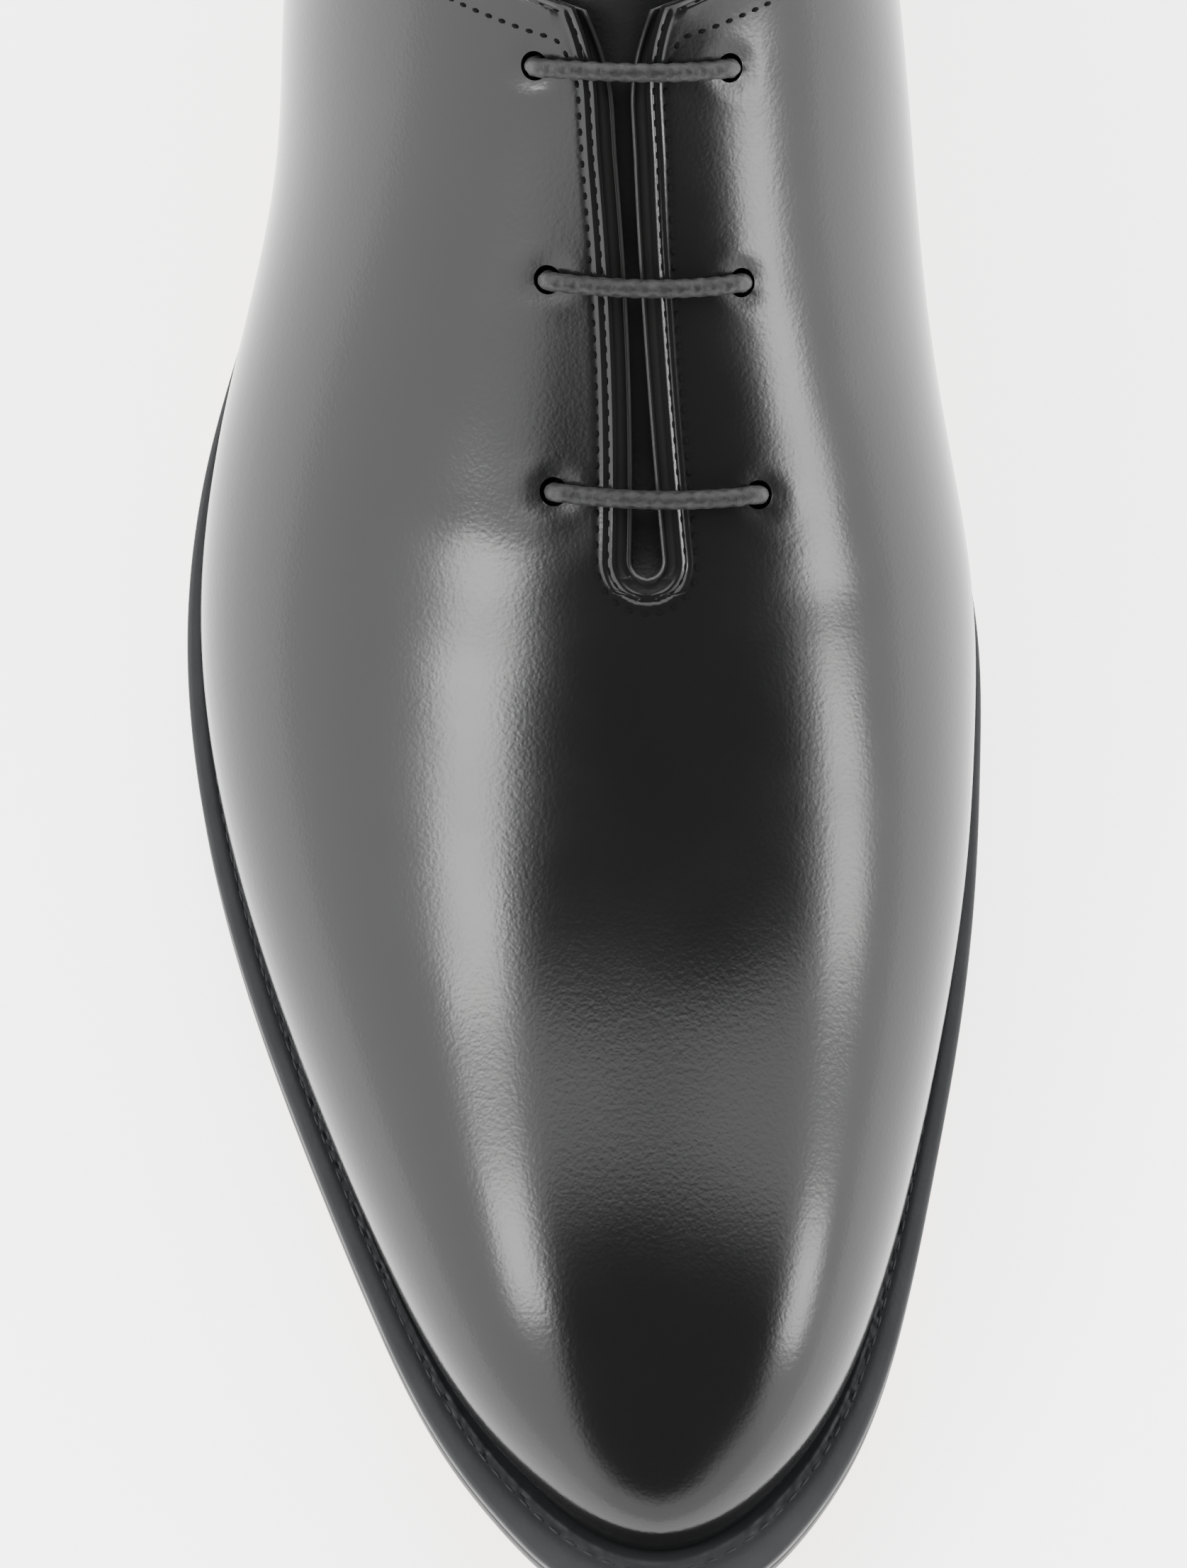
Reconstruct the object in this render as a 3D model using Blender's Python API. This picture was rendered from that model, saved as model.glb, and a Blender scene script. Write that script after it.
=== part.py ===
"""Right whole cut oxford on an elongated last: hollow one-piece upper, tongue, straight lacing,
insole, welt, leather outsole and a stacked heel. Metres, +Z up, toe towards -Y, medial side +X."""

import math

import bmesh
import bpy
import numpy as np
from mathutils import Matrix, Vector

# Last
LAST_LENGTH = 0.3056  # feather line, back of the heel to the tip of the toe
BALL_WIDTH = 0.1001  # feather line, across the ball
INSTEP_HEIGHT = 0.0700  # ridge over the feather line, at the top of the lacing
TOE_OFFSET = 0.0055  # how far the tip of the toe stands to the medial side of the heel's centre

# Upper
UPPER_WALL = 0.0020
JOIN = 0.0003  # gap between two pieces that meet
BACK_HEIGHT = 0.0590  # top edge of the quarters over the heel seat, at the back
FLARE = 0.0160  # how softly the facings turn into the top edge

# Bottom
OUTSOLE = 0.0050
WELT = 0.0030
INSOLE_PROUD = 0.0028  # insole over the welt
INSOLE_BEVEL = 0.0012  # top edge of the insole, drawn in clear of the toe's low wall
LEDGE = 0.0078  # how far the sole stands out from the feather line at the toe
EDGE_ROUND = 0.0008
TOE_SPRING = 0.0120
SPRING_POWER = 2.2
TREAD_FROM = 0.635  # flat stretch of the forepart, as shares of the last's length
TREAD_TO = 0.680
HEEL_BREAST = 0.235
BREAST_HOLLOW = 0.0030
LIFTS = 4
LIFT = 0.0046
TOP_PIECE = 0.0060
HEEL_TAPER = 0.0030  # how far the heel draws in from the seat to the floor

# Throat and lacing
THROAT_END = 0.1170  # tip of the last to the closed end of the throat, level
THROAT_GAP = 0.0081  # at the closed end
THROAT_WAIST = 0.0058  # at the middle eyelets
EYELET_ROWS = 3
EYELET_FIRST = 0.0129
EYELET_PITCH = 0.0242
EYELET_IN_LATERAL = 0.0084
EYELET_IN_MEDIAL = 0.0120
EYELET_HOLE = 0.0038
LACE = 0.0025
INSIDE_BOW = 1.7  # how far the long inside run swings out, in laces
TURN_CLEAR = 1.3  # straight runs start this far from an eyelet, in turning radii
TAIL_START = 0.3  # hidden ends, as shares of the way from one eyelet to the next
TAIL_END = 0.75
TAIL_STEP = 1.2  # how far the second end stops beside the top eyelet, in laces

# Tongue
TONGUE_WALL = 0.0016
TONGUE_WIDTH = 0.0500
TONGUE_AHEAD = 0.0180
TONGUE_LENGTH = 0.0960
TONGUE_TIP = 0.72  # width at the tongue's end, as a share of its full width
TONGUE_SINK = 0.7  # where it starts to sink under the lace, as a share of its part ahead

# Ribs of the last, from the feather line up to the ridge. Along and ridge are shares of the last's
# length from the heel; lateral, medial and shift are shares of the ball's width, from a centre
# line that swings to the toe's offset; height is a share of the instep's. Crown is a share of the
# rib's reach, the walls are shares of its height, and the leans are degrees outwards.
COLUMNS = ("along", "lateral", "medial", "ridge", "shift", "height", "crown", "wall_lateral",
           "wall_medial", "lean_lateral", "lean_medial", "ledge")
RIBS = (
    (0.000, 0.000, 0.000, 0.120, 0.000, 1.200, 0.92, 0.46, 0.46, 11.0, 11.0, 0.30),
    (0.010, 0.125, 0.125, 0.121, 0.000, 1.200, 0.91, 0.46, 0.46, 11.0, 11.0, 0.30),
    (0.035, 0.218, 0.218, 0.125, 0.000, 1.200, 0.90, 0.46, 0.46, 11.0, 11.0, 0.30),
    (0.110, 0.314, 0.307, 0.145, 0.000, 1.200, 0.86, 0.46, 0.46, 12.0, 12.0, 0.30),
    (0.200, 0.335, 0.300, 0.205, -0.002, 1.190, 0.77, 0.46, 0.48, 16.0, 17.0, 0.29),
    (0.310, 0.397, 0.290, 0.310, -0.002, 1.110, 0.62, 0.44, 0.52, 25.0, 28.0, 0.31),
    (0.400, 0.437, 0.323, 0.400, -0.002, 1.000, 0.51, 0.42, 0.53, 23.0, 31.0, 0.41),
    (0.500, 0.526, 0.397, 0.500, 0.012, 0.920, 0.46, 0.40, 0.51, 23.0, 23.0, 0.51),
    (0.575, 0.556, 0.439, 0.575, 0.021, 0.815, 0.46, 0.40, 0.49, 27.0, 24.0, 0.54),
    (0.630, 0.548, 0.437, 0.630, 0.023, 0.730, 0.47, 0.41, 0.49, 28.0, 26.0, 0.54),
    (0.692, 0.516, 0.422, 0.692, 0.018, 0.640, 0.49, 0.43, 0.49, 26.0, 27.0, 0.54),
    (0.756, 0.462, 0.393, 0.756, 0.011, 0.554, 0.52, 0.46, 0.49, 24.0, 26.0, 0.54),
    (0.820, 0.394, 0.350, 0.820, 0.005, 0.484, 0.56, 0.50, 0.50, 22.0, 24.0, 0.55),
    (0.884, 0.317, 0.297, 0.884, 0.001, 0.404, 0.61, 0.54, 0.53, 19.0, 20.0, 0.60),
    (0.946, 0.220, 0.217, 0.945, 0.000, 0.280, 0.63, 0.56, 0.55, 13.0, 13.0, 0.70),
    (0.975, 0.146, 0.148, 0.975, 0.000, 0.189, 0.62, 0.56, 0.56, 7.0, 7.0, 0.81),
    (0.993, 0.076, 0.077, 0.994, 0.000, 0.100, 0.59, 0.55, 0.55, 2.0, 2.0, 0.94),
    (1.000, 0.000, 0.000, 1.000, 0.000, 0.000, 0.56, 0.55, 0.55, 0.0, 0.0, 1.00),
)
# Top edge of the quarters: shares of the last's length from the heel, and of the back height.
COLLAR = ((0.00, 1.00), (0.06, 0.96), (0.13, 0.86), (0.20, 0.805), (0.27, 0.82), (0.33, 0.89),
          (0.37, 0.99), (0.40, 1.06), (0.46, 1.30))

# How finely the solids are cut
RIB_COUNT = 46
RIB_POINTS = 13
ARC_STEPS = 4


# Bottom profile

def heel_height():
    return TOP_PIECE + LIFTS * (LIFT + JOIN) + JOIN


def tread(y):
    """Height of the outsole's underside over the floor."""
    share = -y / LAST_LENGTH
    rise = min(max((TREAD_FROM - share) / (TREAD_FROM - HEEL_BREAST), 0.0), 1.0)
    spring = max((share - TREAD_TO) / (1.0 - TREAD_TO), 0.0)
    arch = rise**3 * (10.0 - 15.0 * rise + 6.0 * rise**2)
    return heel_height() * arch + TOE_SPRING * spring**SPRING_POWER


def welt_foot(y):
    return tread(y) + OUTSOLE + JOIN


def feather(y):
    """Height of the upper's lower edge, just over the welt."""
    return welt_foot(y) + WELT + JOIN


# Last

def natural_spline(knots, values):
    """A smooth curve through each column of values at the knots."""
    knots = np.asarray(knots, float)
    values = np.asarray(values, float)
    steps = np.diff(knots)
    slopes = np.diff(values, axis=0) / steps[:, None]
    system = np.eye(len(knots))
    right = np.zeros_like(values)
    for k in range(1, len(knots) - 1):
        system[k, k - 1 : k + 2] = steps[k - 1], 2.0 * (steps[k - 1] + steps[k]), steps[k]
        right[k] = 6.0 * (slopes[k] - slopes[k - 1])
    bends = np.linalg.solve(system, right)

    def curve(at):
        k = min(max(int(np.searchsorted(knots, at, side="right")) - 1, 0), len(knots) - 2)
        a = (knots[k + 1] - at) / steps[k]
        b = 1.0 - a
        swell = (a**3 - a) * bends[k] + (b**3 - b) * bends[k + 1]
        return a * values[k] + b * values[k + 1] + swell * steps[k] ** 2 / 6.0

    return curve


def reflected(row, at_toe):
    """A rib past the heel's back or the toe's tip, where the two sides change places."""
    named = dict(zip(COLUMNS, row))
    for lateral, medial in (("lateral", "medial"), ("wall_lateral", "wall_medial"),
                            ("lean_lateral", "lean_medial")):
        named[lateral], named[medial] = named[medial], named[lateral]
    named["lateral"] *= -1.0
    named["medial"] *= -1.0
    if at_toe:
        named["height"] *= -1.0
    return tuple(named[column] for column in COLUMNS)


def ribs_curve():
    """The table as one smooth curve of its columns, from 0 at the heel's back to 1 at the tip."""
    rows = [reflected(row, False) for row in RIBS[3:0:-1]] + list(RIBS)
    rows += [reflected(row, True) for row in RIBS[-2:-5:-1]]
    table = np.array(rows)
    across = (table[:, 1] + table[:, 2]) / 2.0 * BALL_WIDTH
    knots = np.cumsum(np.r_[0.0, np.hypot(np.diff(table[:, 0]) * LAST_LENGTH, np.diff(across))])
    first, last = knots[3], knots[2 + len(RIBS)]
    return natural_spline((knots - first) / (last - first), table)


RIB_AT = ribs_curve()
COLLAR_AT = natural_spline([row[0] for row in COLLAR], [row[1:] for row in COLLAR])
LATERAL, MEDIAL = -1, 1


def rib(s):
    return dict(zip(COLUMNS, RIB_AT(s)))


def swing(share):
    return TOE_OFFSET * share**2


def edge_point(s, side):
    """Plan of the feather line."""
    row = rib(s)
    half = row["lateral"] if side == LATERAL else row["medial"]
    return np.array([swing(row["along"]) + side * half * BALL_WIDTH, -row["along"] * LAST_LENGTH])


def edge_normal(s, side, step=1e-4):
    """Unit vector in plan, out from the feather line."""
    along = edge_point(min(s + step, 1.0), side) - edge_point(max(s - step, 0.0), side)
    if s < step or s > 1.0 - step:
        return np.array([0.0, 1.0 if s < step else -1.0])
    out = np.array([-along[1], along[0]]) * side
    return out / np.linalg.norm(out)


def rib_handles(s, side):
    """The four control points of one side's half of a rib."""
    row = rib(s)
    name = "lateral" if side == LATERAL else "medial"
    plan = edge_point(s, side)
    foot = np.array([plan[0], plan[1], feather(plan[1])])
    height = row["height"] * INSTEP_HEIGHT
    share = row["ridge"]
    top = np.array([swing(share) + row["shift"] * BALL_WIDTH, -share * LAST_LENGTH, foot[2] + height])
    wall, lean = row["wall_" + name], math.radians(row["lean_" + name])
    out = edge_normal(s, side)
    rise = wall * height
    side_handle = foot + np.array([out[0] * math.tan(lean) * rise, out[1] * math.tan(lean) * rise, rise])
    reach = [np.linalg.norm(edge_point(s, each) - top[:2]) for each in (LATERAL, MEDIAL)]
    evener = math.sqrt((1.0 - wall) / (1.0 - (row["wall_lateral"] + row["wall_medial"]) / 2.0))
    away = foot[:2] - top[:2]
    size = np.linalg.norm(away)
    way = away / size if size > 1e-9 else away * 0.0
    crown = row["crown"] * sum(reach) / 2.0 * evener
    top_handle = top + np.array([way[0], way[1], 0.0]) * crown
    return foot, side_handle, top_handle, top


def rib_points(s, side, t):
    t = np.asarray(t, float)[:, None]
    foot, low, high, top = rib_handles(s, side)
    u = 1.0 - t
    return u**3 * foot + 3.0 * u * u * t * low + 3.0 * u * t * t * high + t**3 * top


def girth(s, side, count=97):
    """Parameters along a rib, with their distance from the ridge and their height."""
    t = np.linspace(0.0, 1.0, count)
    points = rib_points(s, side, t)
    pieces = np.linalg.norm(np.diff(points, axis=0), axis=1)
    from_ridge = np.r_[np.cumsum(pieces[::-1])[::-1], 0.0]
    return t, from_ridge, points[:, 2]


def at_girth(s, side, distance):
    """Parameter of the point that lies this far from the ridge, along the rib."""
    t, from_ridge, _ = girth(s, side)
    return float(np.interp(distance, from_ridge[::-1], t[::-1]))


def skin(s, side, distance, depth=0.0):
    """A point at a distance from the ridge, depth under the last's surface, and its normal."""
    t = at_girth(s, side, distance)
    step = 1e-3
    here = rib_points(s, side, [t])[0]
    up = rib_points(s, side, [min(t + step, 1.0)])[0] - rib_points(s, side, [max(t - step, 0.0)])[0]
    ahead = rib_points(s + step, side, [at_girth(s + step, side, distance)])[0]
    behind = rib_points(s - step, side, [at_girth(s - step, side, distance)])[0]
    normal = np.cross(up, ahead - behind) * side
    normal /= np.linalg.norm(normal)
    return here - normal * depth, normal


def s_at_ridge(y):
    """The rib whose top lies at y."""
    grid = np.linspace(0.0, 1.0, 801)
    tops = np.array([-rib(s)["ridge"] * LAST_LENGTH for s in grid])
    return float(np.interp(-y, -tops, grid))


# Throat and top edge

def throat_end():
    return -(LAST_LENGTH - THROAT_END)


def half_gap(y):
    """Half of the throat's width on the ridge at y, with its round end."""
    behind = y - throat_end()
    if behind <= 0.0:
        return 0.0
    radius = THROAT_GAP / 2.0
    if behind < radius:
        return math.sqrt(radius**2 - (radius - behind) ** 2)
    middle = EYELET_FIRST + EYELET_PITCH
    share = min((behind - radius) / (middle - radius), 1.4)
    return radius + (THROAT_WAIST - THROAT_GAP) / 2.0 * share * (2.0 - share)


def edge_distance(s, side):
    """How far from the ridge the upper ends on this rib: at the throat or at the top edge."""
    y = -rib(s)["ridge"] * LAST_LENGTH
    slot = half_gap(y)
    if slot == 0.0:
        return 0.0
    _, from_ridge, heights = girth(s, side)
    seat = feather(0.0)
    share = min(rib(s)["along"], COLLAR[-1][0])
    level = seat + BACK_HEIGHT * COLLAR_AT(share)[0]
    if level >= heights[-1]:
        top_edge = heights[-1] - level
    else:
        top_edge = float(np.interp(level, heights, from_ridge))
    near = max(FLARE - abs(slot - top_edge), 0.0) / FLARE
    return max(slot, top_edge) + near**2 * FLARE / 4.0


def rib_stations():
    """Ribs spaced evenly, with close ones around the round end of the throat."""
    even = [k / RIB_COUNT for k in range(RIB_COUNT + 1)]
    radius = THROAT_GAP / 2.0
    turns = [radius * (1.0 - math.cos(math.pi / 2.0 * k / ARC_STEPS)) for k in range(ARC_STEPS + 1)]
    close = [s_at_ridge(throat_end() + turn) for turn in turns]
    apart = 0.4 / RIB_COUNT
    kept = [s for s in even if all(abs(s - each) > apart for each in close)]
    return sorted(kept + close)


# Meshes

def material(name, colour, roughness, metallic=0.0):
    made = bpy.data.materials.get(name) or bpy.data.materials.new(name)
    made.use_nodes = True
    shader = made.node_tree.nodes["Principled BSDF"]
    shader.inputs["Base Color"].default_value = (*colour, 1.0)
    shader.inputs["Roughness"].default_value = roughness
    shader.inputs["Metallic"].default_value = metallic
    return made


def add_object(name, data, finish):
    made = bpy.data.objects.new(name, data)
    bpy.context.scene.collection.objects.link(made)
    data.materials.append(finish)
    return made


def mesh_object(name, bm, finish):
    mesh = bpy.data.meshes.new(name)
    bm.to_mesh(mesh)
    bm.free()
    mesh.shade_smooth()
    mesh.set_sharp_from_angle(angle=math.radians(40))
    return add_object(name, mesh, finish)


def add_grid(bm, rows):
    """Faces between rows of points, all of one length."""
    verts = [[bm.verts.new(point) for point in row] for row in rows]
    for low, high in zip(verts, verts[1:]):
        for k in range(len(low) - 1):
            bm.faces.new((low[k], low[k + 1], high[k + 1], high[k]))
    return verts


def thicken(obj, wall):
    """Gives an open skin its wall, inwards."""
    solidify = obj.modifiers.new("wall", "SOLIDIFY")
    solidify.thickness = wall
    solidify.offset = -1.0
    solidify.use_even_offset = True
    solidify.use_quality_normals = True


def shell_rows(side, stations):
    rows = []
    for s in stations:
        last = at_girth(s, side, edge_distance(s, side))
        t, from_ridge, _ = girth(s, side)
        used = t <= last
        lengths = from_ridge[0] - np.append(from_ridge[used], np.interp(last, t, from_ridge))
        spread = np.linspace(0.0, lengths[-1], RIB_POINTS + 1)
        rows.append(rib_points(s, side, np.interp(spread, lengths, np.append(t[used], last))))
    return rows


def make_upper(finish):
    stations = rib_stations()
    bm = bmesh.new()
    lateral = shell_rows(LATERAL, stations)
    medial = [row[::-1] for row in shell_rows(MEDIAL, stations)]
    add_grid(bm, lateral)
    add_grid(bm, medial)
    bmesh.ops.remove_doubles(bm, verts=bm.verts, dist=1e-6)
    point, normal = skin(s_at_ridge(throat_end() * 1.1), LATERAL, INSTEP_HEIGHT / 4.0)
    nearest = min(bm.faces, key=lambda face: (face.calc_center_median() - Vector(point)).length)
    if nearest.normal.dot(Vector(normal)) < 0.0:
        bmesh.ops.reverse_faces(bm, faces=bm.faces)
    upper = mesh_object("upper", bm, finish)
    thicken(upper, UPPER_WALL)
    cutter = make_eyelet_cutter()
    holes = upper.modifiers.new("eyelets", "BOOLEAN")
    holes.object = cutter
    holes.operation = "DIFFERENCE"
    holes.solver = "EXACT"
    return upper


def eyelet_places():
    """Rib and distance from the ridge of each eyelet, by side, from the toe's end up."""
    places = {LATERAL: [], MEDIAL: []}
    for row in range(EYELET_ROWS):
        y = throat_end() + EYELET_FIRST + row * EYELET_PITCH
        s = s_at_ridge(y)
        for side, inset in ((LATERAL, EYELET_IN_LATERAL), (MEDIAL, EYELET_IN_MEDIAL)):
            places[side].append((s, half_gap(y) + inset))
    return places


def make_eyelet_cutter():
    bm = bmesh.new()
    depth = 4.0 * UPPER_WALL
    for side, places in eyelet_places().items():
        for s, distance in places:
            point, normal = skin(s, side, distance)
            turn = Vector(normal).to_track_quat("Z", "Y").to_matrix().to_4x4()
            bmesh.ops.create_cone(bm, cap_ends=True, segments=16, radius1=EYELET_HOLE / 2.0,
                                  radius2=EYELET_HOLE / 2.0, depth=depth,
                                  matrix=Matrix.Translation(point) @ turn)
    cutter = mesh_object("eyelet_cutter", bm, material("guide", (0.5, 0.5, 0.5), 0.5))
    cutter.hide_render = True
    cutter.display_type = "WIRE"
    return cutter


# Bottom pieces

def outline(s, side, out):
    """Plan of the sole's edge: the feather line moved out."""
    return edge_point(s, side) + edge_normal(s, side) * out


def ledge(s):
    return rib(s)["ledge"] * LEDGE


def even_stations(count):
    return [k / count for k in range(count + 1)]


def section_loops(bm, stations, section, foot):
    """A loop round the sole for each (out, over) pair of a cross-section of its edge."""
    loops = []
    for out, over in section:
        loop = []
        for side, order in ((LATERAL, stations), (MEDIAL, stations[-2:0:-1])):
            for s in order:
                x, y = outline(s, side, out(s))
                loop.append(bm.verts.new((x, y, foot(y) + over)))
        loops.append(loop)
    return loops


def join_loops(bm, low, high):
    for k in range(len(low)):
        after = (k + 1) % len(low)
        bm.faces.new((low[k], low[after], high[after], high[k]))


def finish_solid(name, bm, finish):
    bmesh.ops.recalc_face_normals(bm, faces=bm.faces)
    bmesh.ops.triangulate(bm, faces=bm.faces)
    return mesh_object(name, bm, finish)


def make_plate(name, section, foot, finish):
    """A solid plate under the whole foot, its faces running straight across."""
    stations = even_stations(RIB_COUNT)
    bm = bmesh.new()
    loops = section_loops(bm, stations, section, foot)
    for low, high in zip(loops, loops[1:]):
        join_loops(bm, low, high)
    for loop in (loops[0], loops[-1]):
        for k in range(RIB_COUNT):
            corners = [loop[k], loop[k + 1], loop[-k - 1], loop[-k] if k else loop[0]]
            bm.faces.new(list(dict.fromkeys(corners)))
    return finish_solid(name, bm, finish)


def make_outsole(finish):
    section = (
        (lambda s: ledge(s) - EDGE_ROUND, 0.0),
        (lambda s: ledge(s), EDGE_ROUND),
        (lambda s: ledge(s), OUTSOLE),
    )
    return make_plate("outsole", section, tread, finish)


def make_insole(finish):
    inset = UPPER_WALL + JOIN
    section = (
        (lambda s: -inset, 0.0),
        (lambda s: -inset, WELT + JOIN),
        (lambda s: -inset - INSOLE_BEVEL, WELT + INSOLE_PROUD),
    )
    return make_plate("insole", section, welt_foot, finish)


def make_welt(finish):
    """A ring under the upper's foot, flat on the outsole."""
    section = (
        (lambda s: -UPPER_WALL, 0.0),
        (lambda s: ledge(s), 0.0),
        (lambda s: ledge(s), WELT - EDGE_ROUND),
        (lambda s: ledge(s) - EDGE_ROUND, WELT),
        (lambda s: -UPPER_WALL, WELT),
    )
    bm = bmesh.new()
    loops = section_loops(bm, even_stations(RIB_COUNT), section, welt_foot)
    for low, high in zip(loops, loops[1:] + loops[:1]):
        join_loops(bm, low, high)
    return finish_solid("welt", bm, finish)


def breast_station():
    """The rib at the heel's front."""
    grid = even_stations(800)
    return float(np.interp(HEEL_BREAST, [rib(s)["along"] for s in grid], grid))


def heel_loop(drawn_in, count=14, front=8):
    """Plan of the heel, drawn in from the sole's edge, with its hollow front."""
    stations = [breast_station() * k / count for k in range(count + 1)]
    lateral = [outline(s, LATERAL, ledge(s) - drawn_in) for s in stations]
    medial = [outline(s, MEDIAL, ledge(s) - drawn_in) for s in stations]
    start, end = medial[-1], lateral[-1]
    breast = []
    for k in range(1, front):
        share = k / front
        point = start + (end - start) * share
        point[1] += BREAST_HOLLOW * 4.0 * share * (1.0 - share)
        breast.append(point)
    return lateral[::-1] + medial[1:] + breast


def make_heel_slab(name, low, high, finish):
    bm = bmesh.new()
    loops = []
    for z in (low, high):
        drawn_in = HEEL_TAPER * (1.0 - z / heel_height())
        loops.append([bm.verts.new((x, y, z)) for x, y in heel_loop(drawn_in)])
        bm.faces.new(loops[-1])
    join_loops(bm, *loops)
    return finish_solid(name, bm, finish)


def make_heel(leather, rubber):
    made = [make_heel_slab("top_piece", 0.0, TOP_PIECE, rubber)]
    for k in range(LIFTS):
        low = TOP_PIECE + JOIN + k * (LIFT + JOIN)
        made.append(make_heel_slab("heel_lift_%d" % (k + 1), low, low + LIFT, leather))
    return made


# Tongue and lace

def lace_depth():
    """Middle of the lace under the last's surface where it runs inside."""
    return UPPER_WALL + JOIN + LACE / 2.0


def tongue_depth(y):
    """Top of the tongue under the last's surface: close to the vamp, then under the lace."""
    share = min(max((y - throat_end()) / TONGUE_AHEAD + TONGUE_SINK, 0.0), 1.0)
    ease = share * share * (3.0 - 2.0 * share)
    return UPPER_WALL + JOIN + ease * (LACE + JOIN)


def make_tongue(finish, rows=18, across=12):
    bm = bmesh.new()
    start = throat_end() - TONGUE_AHEAD
    grid = []
    for k in range(rows + 1):
        y = start + TONGUE_LENGTH * k / rows
        s = s_at_ridge(y)
        to_top = min((1.0 - k / rows) * TONGUE_LENGTH / (TONGUE_WIDTH / 4.0), 1.0)
        round_end = math.sqrt(max(1.0 - (1.0 - to_top) ** 2, 0.0))
        half = TONGUE_WIDTH / 2.0 * (TONGUE_TIP + (1.0 - TONGUE_TIP) * round_end)
        row = []
        for m in range(across + 1):
            place = half * (2.0 * m / across - 1.0)
            side = LATERAL if place < 0.0 else MEDIAL
            row.append(skin(s, side, abs(place), tongue_depth(y))[0])
        grid.append(row)
    add_grid(bm, grid)
    middle = bm.faces[:][len(bm.faces) // 2]
    if middle.normal.z < 0.0:
        bmesh.ops.reverse_faces(bm, faces=bm.faces)
    tongue = mesh_object("tongue", bm, finish)
    thicken(tongue, TONGUE_WALL)
    return tongue


def bend(corner, start_way, end_way, radius):
    """A quarter turn round a corner between two ways at right angles."""
    centre = corner - start_way * radius + end_way * radius
    points = []
    for k in range(ARC_STEPS + 1):
        angle = math.pi / 2.0 * k / ARC_STEPS
        points.append(centre + start_way * radius * math.sin(angle) - end_way * radius * math.cos(angle))
    return points


def unit(vector):
    return vector / np.linalg.norm(vector)


def square_to(vector, normal):
    """The part of a vector that lies in the surface, at unit length."""
    return unit(vector - normal * np.dot(vector, normal))


def lace_at_eyelet(side, row):
    """Where the lace's middle meets the eyelet's axis outside and inside, with the normal."""
    s, distance = eyelet_places()[side][row]
    point, normal = skin(s, side, distance)
    proud = JOIN + LACE / 2.0
    return point + normal * proud, point - normal * lace_depth(), normal


def surface_path(start, end, depth, bow, count):
    """Points between two places (rib, signed distance from the ridge), without the ends."""
    points = []
    for k in range(1, count):
        share = k / count
        s = start[0] + (end[0] - start[0]) * share
        place = start[1] + (end[1] - start[1]) * share
        side = LATERAL if place < 0.0 else MEDIAL
        place += side * bow * math.sin(math.pi * share)
        points.append(skin(s, side, abs(place), depth)[0])
    return points


def lace_route():
    """In under the top lateral eyelet, across, down inside to the bottom bar, up to the middle
    bar, and its other end stops inside under the top medial eyelet."""
    top, bottom, middle = EYELET_ROWS - 1, 0, min(1, EYELET_ROWS - 1)
    radius = EYELET_HOLE / 2.0
    proud = -(JOIN + LACE / 2.0)
    places = {side: [(s, side * distance) for s, distance in rows]
              for side, rows in eyelet_places().items()}
    towards_toe = np.array([0.0, -1.0, 0.0])

    def cross(row, from_side, to_side):
        """Up through one eyelet, over the throat and down through the other."""
        inside_a, inside_b = run_ways[row, from_side], run_ways[row, to_side]
        out_a, in_a, normal_a = lace_at_eyelet(from_side, row)
        out_b, in_b, normal_b = lace_at_eyelet(to_side, row)
        start, end = places[from_side][row], places[to_side][row]
        over = surface_path(start, end, proud, 0.0, 12)
        over = [p for p in over if np.linalg.norm(p - out_a) > radius * TURN_CLEAR
                and np.linalg.norm(p - out_b) > radius * TURN_CLEAR]
        way_a = square_to(out_b - out_a, normal_a)
        way_b = square_to(out_b - out_a, normal_b)
        points = bend(in_a, -square_to(inside_a, normal_a), normal_a, radius)
        points += bend(out_a, normal_a, way_a, radius)
        points += over
        points += bend(out_b, way_b, -normal_b, radius)
        points += bend(in_b, -normal_b, square_to(inside_b, normal_b), radius)
        return points

    run_ways = {
        (top, LATERAL): towards_toe, (top, MEDIAL): towards_toe,
        (bottom, LATERAL): -towards_toe, (bottom, MEDIAL): -towards_toe,
        (middle, LATERAL): towards_toe, (middle, MEDIAL): -towards_toe,
    }
    bow = LACE * INSIDE_BOW
    first = places[LATERAL][top]
    tail = (first[0] + TAIL_START * (places[LATERAL][middle][0] - first[0]), first[1])
    route = [skin(tail[0], LATERAL, abs(tail[1]), lace_depth())[0]]
    route += cross(top, LATERAL, MEDIAL)
    route += surface_path(places[MEDIAL][top], places[MEDIAL][bottom], lace_depth(), bow, 14)[1:-1]
    route += cross(bottom, MEDIAL, LATERAL)
    route += surface_path(places[LATERAL][bottom], places[LATERAL][middle], lace_depth(), 0.0, 7)[1:-1]
    if middle != top:
        route += cross(middle, LATERAL, MEDIAL)
        start, full = places[MEDIAL][middle], places[MEDIAL][top]
        end = (start[0] + TAIL_END * (full[0] - start[0]), full[1] - LACE * TAIL_STEP)
        route += surface_path(start, end, lace_depth(), 0.0, 7)[1:]
    return route


def make_lace(finish):
    curve = bpy.data.curves.new("lace", "CURVE")
    curve.dimensions = "3D"
    curve.bevel_depth = LACE / 2.0
    curve.bevel_resolution = 2
    curve.use_fill_caps = True
    spline = curve.splines.new("POLY")
    route = lace_route()
    spline.points.add(len(route) - 1)
    for point, place in zip(spline.points, route):
        point.co = (*place, 1.0)
    return add_object("lace", curve, finish)


def clear_scene():
    for old in list(bpy.data.objects):
        bpy.data.objects.remove(old, do_unlink=True)


def world_points(obj):
    evaluated = obj.evaluated_get(bpy.context.evaluated_depsgraph_get())
    mesh = evaluated.to_mesh()
    points = np.array([obj.matrix_world @ vertex.co for vertex in mesh.vertices])
    evaluated.to_mesh_clear()
    return points


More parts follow.
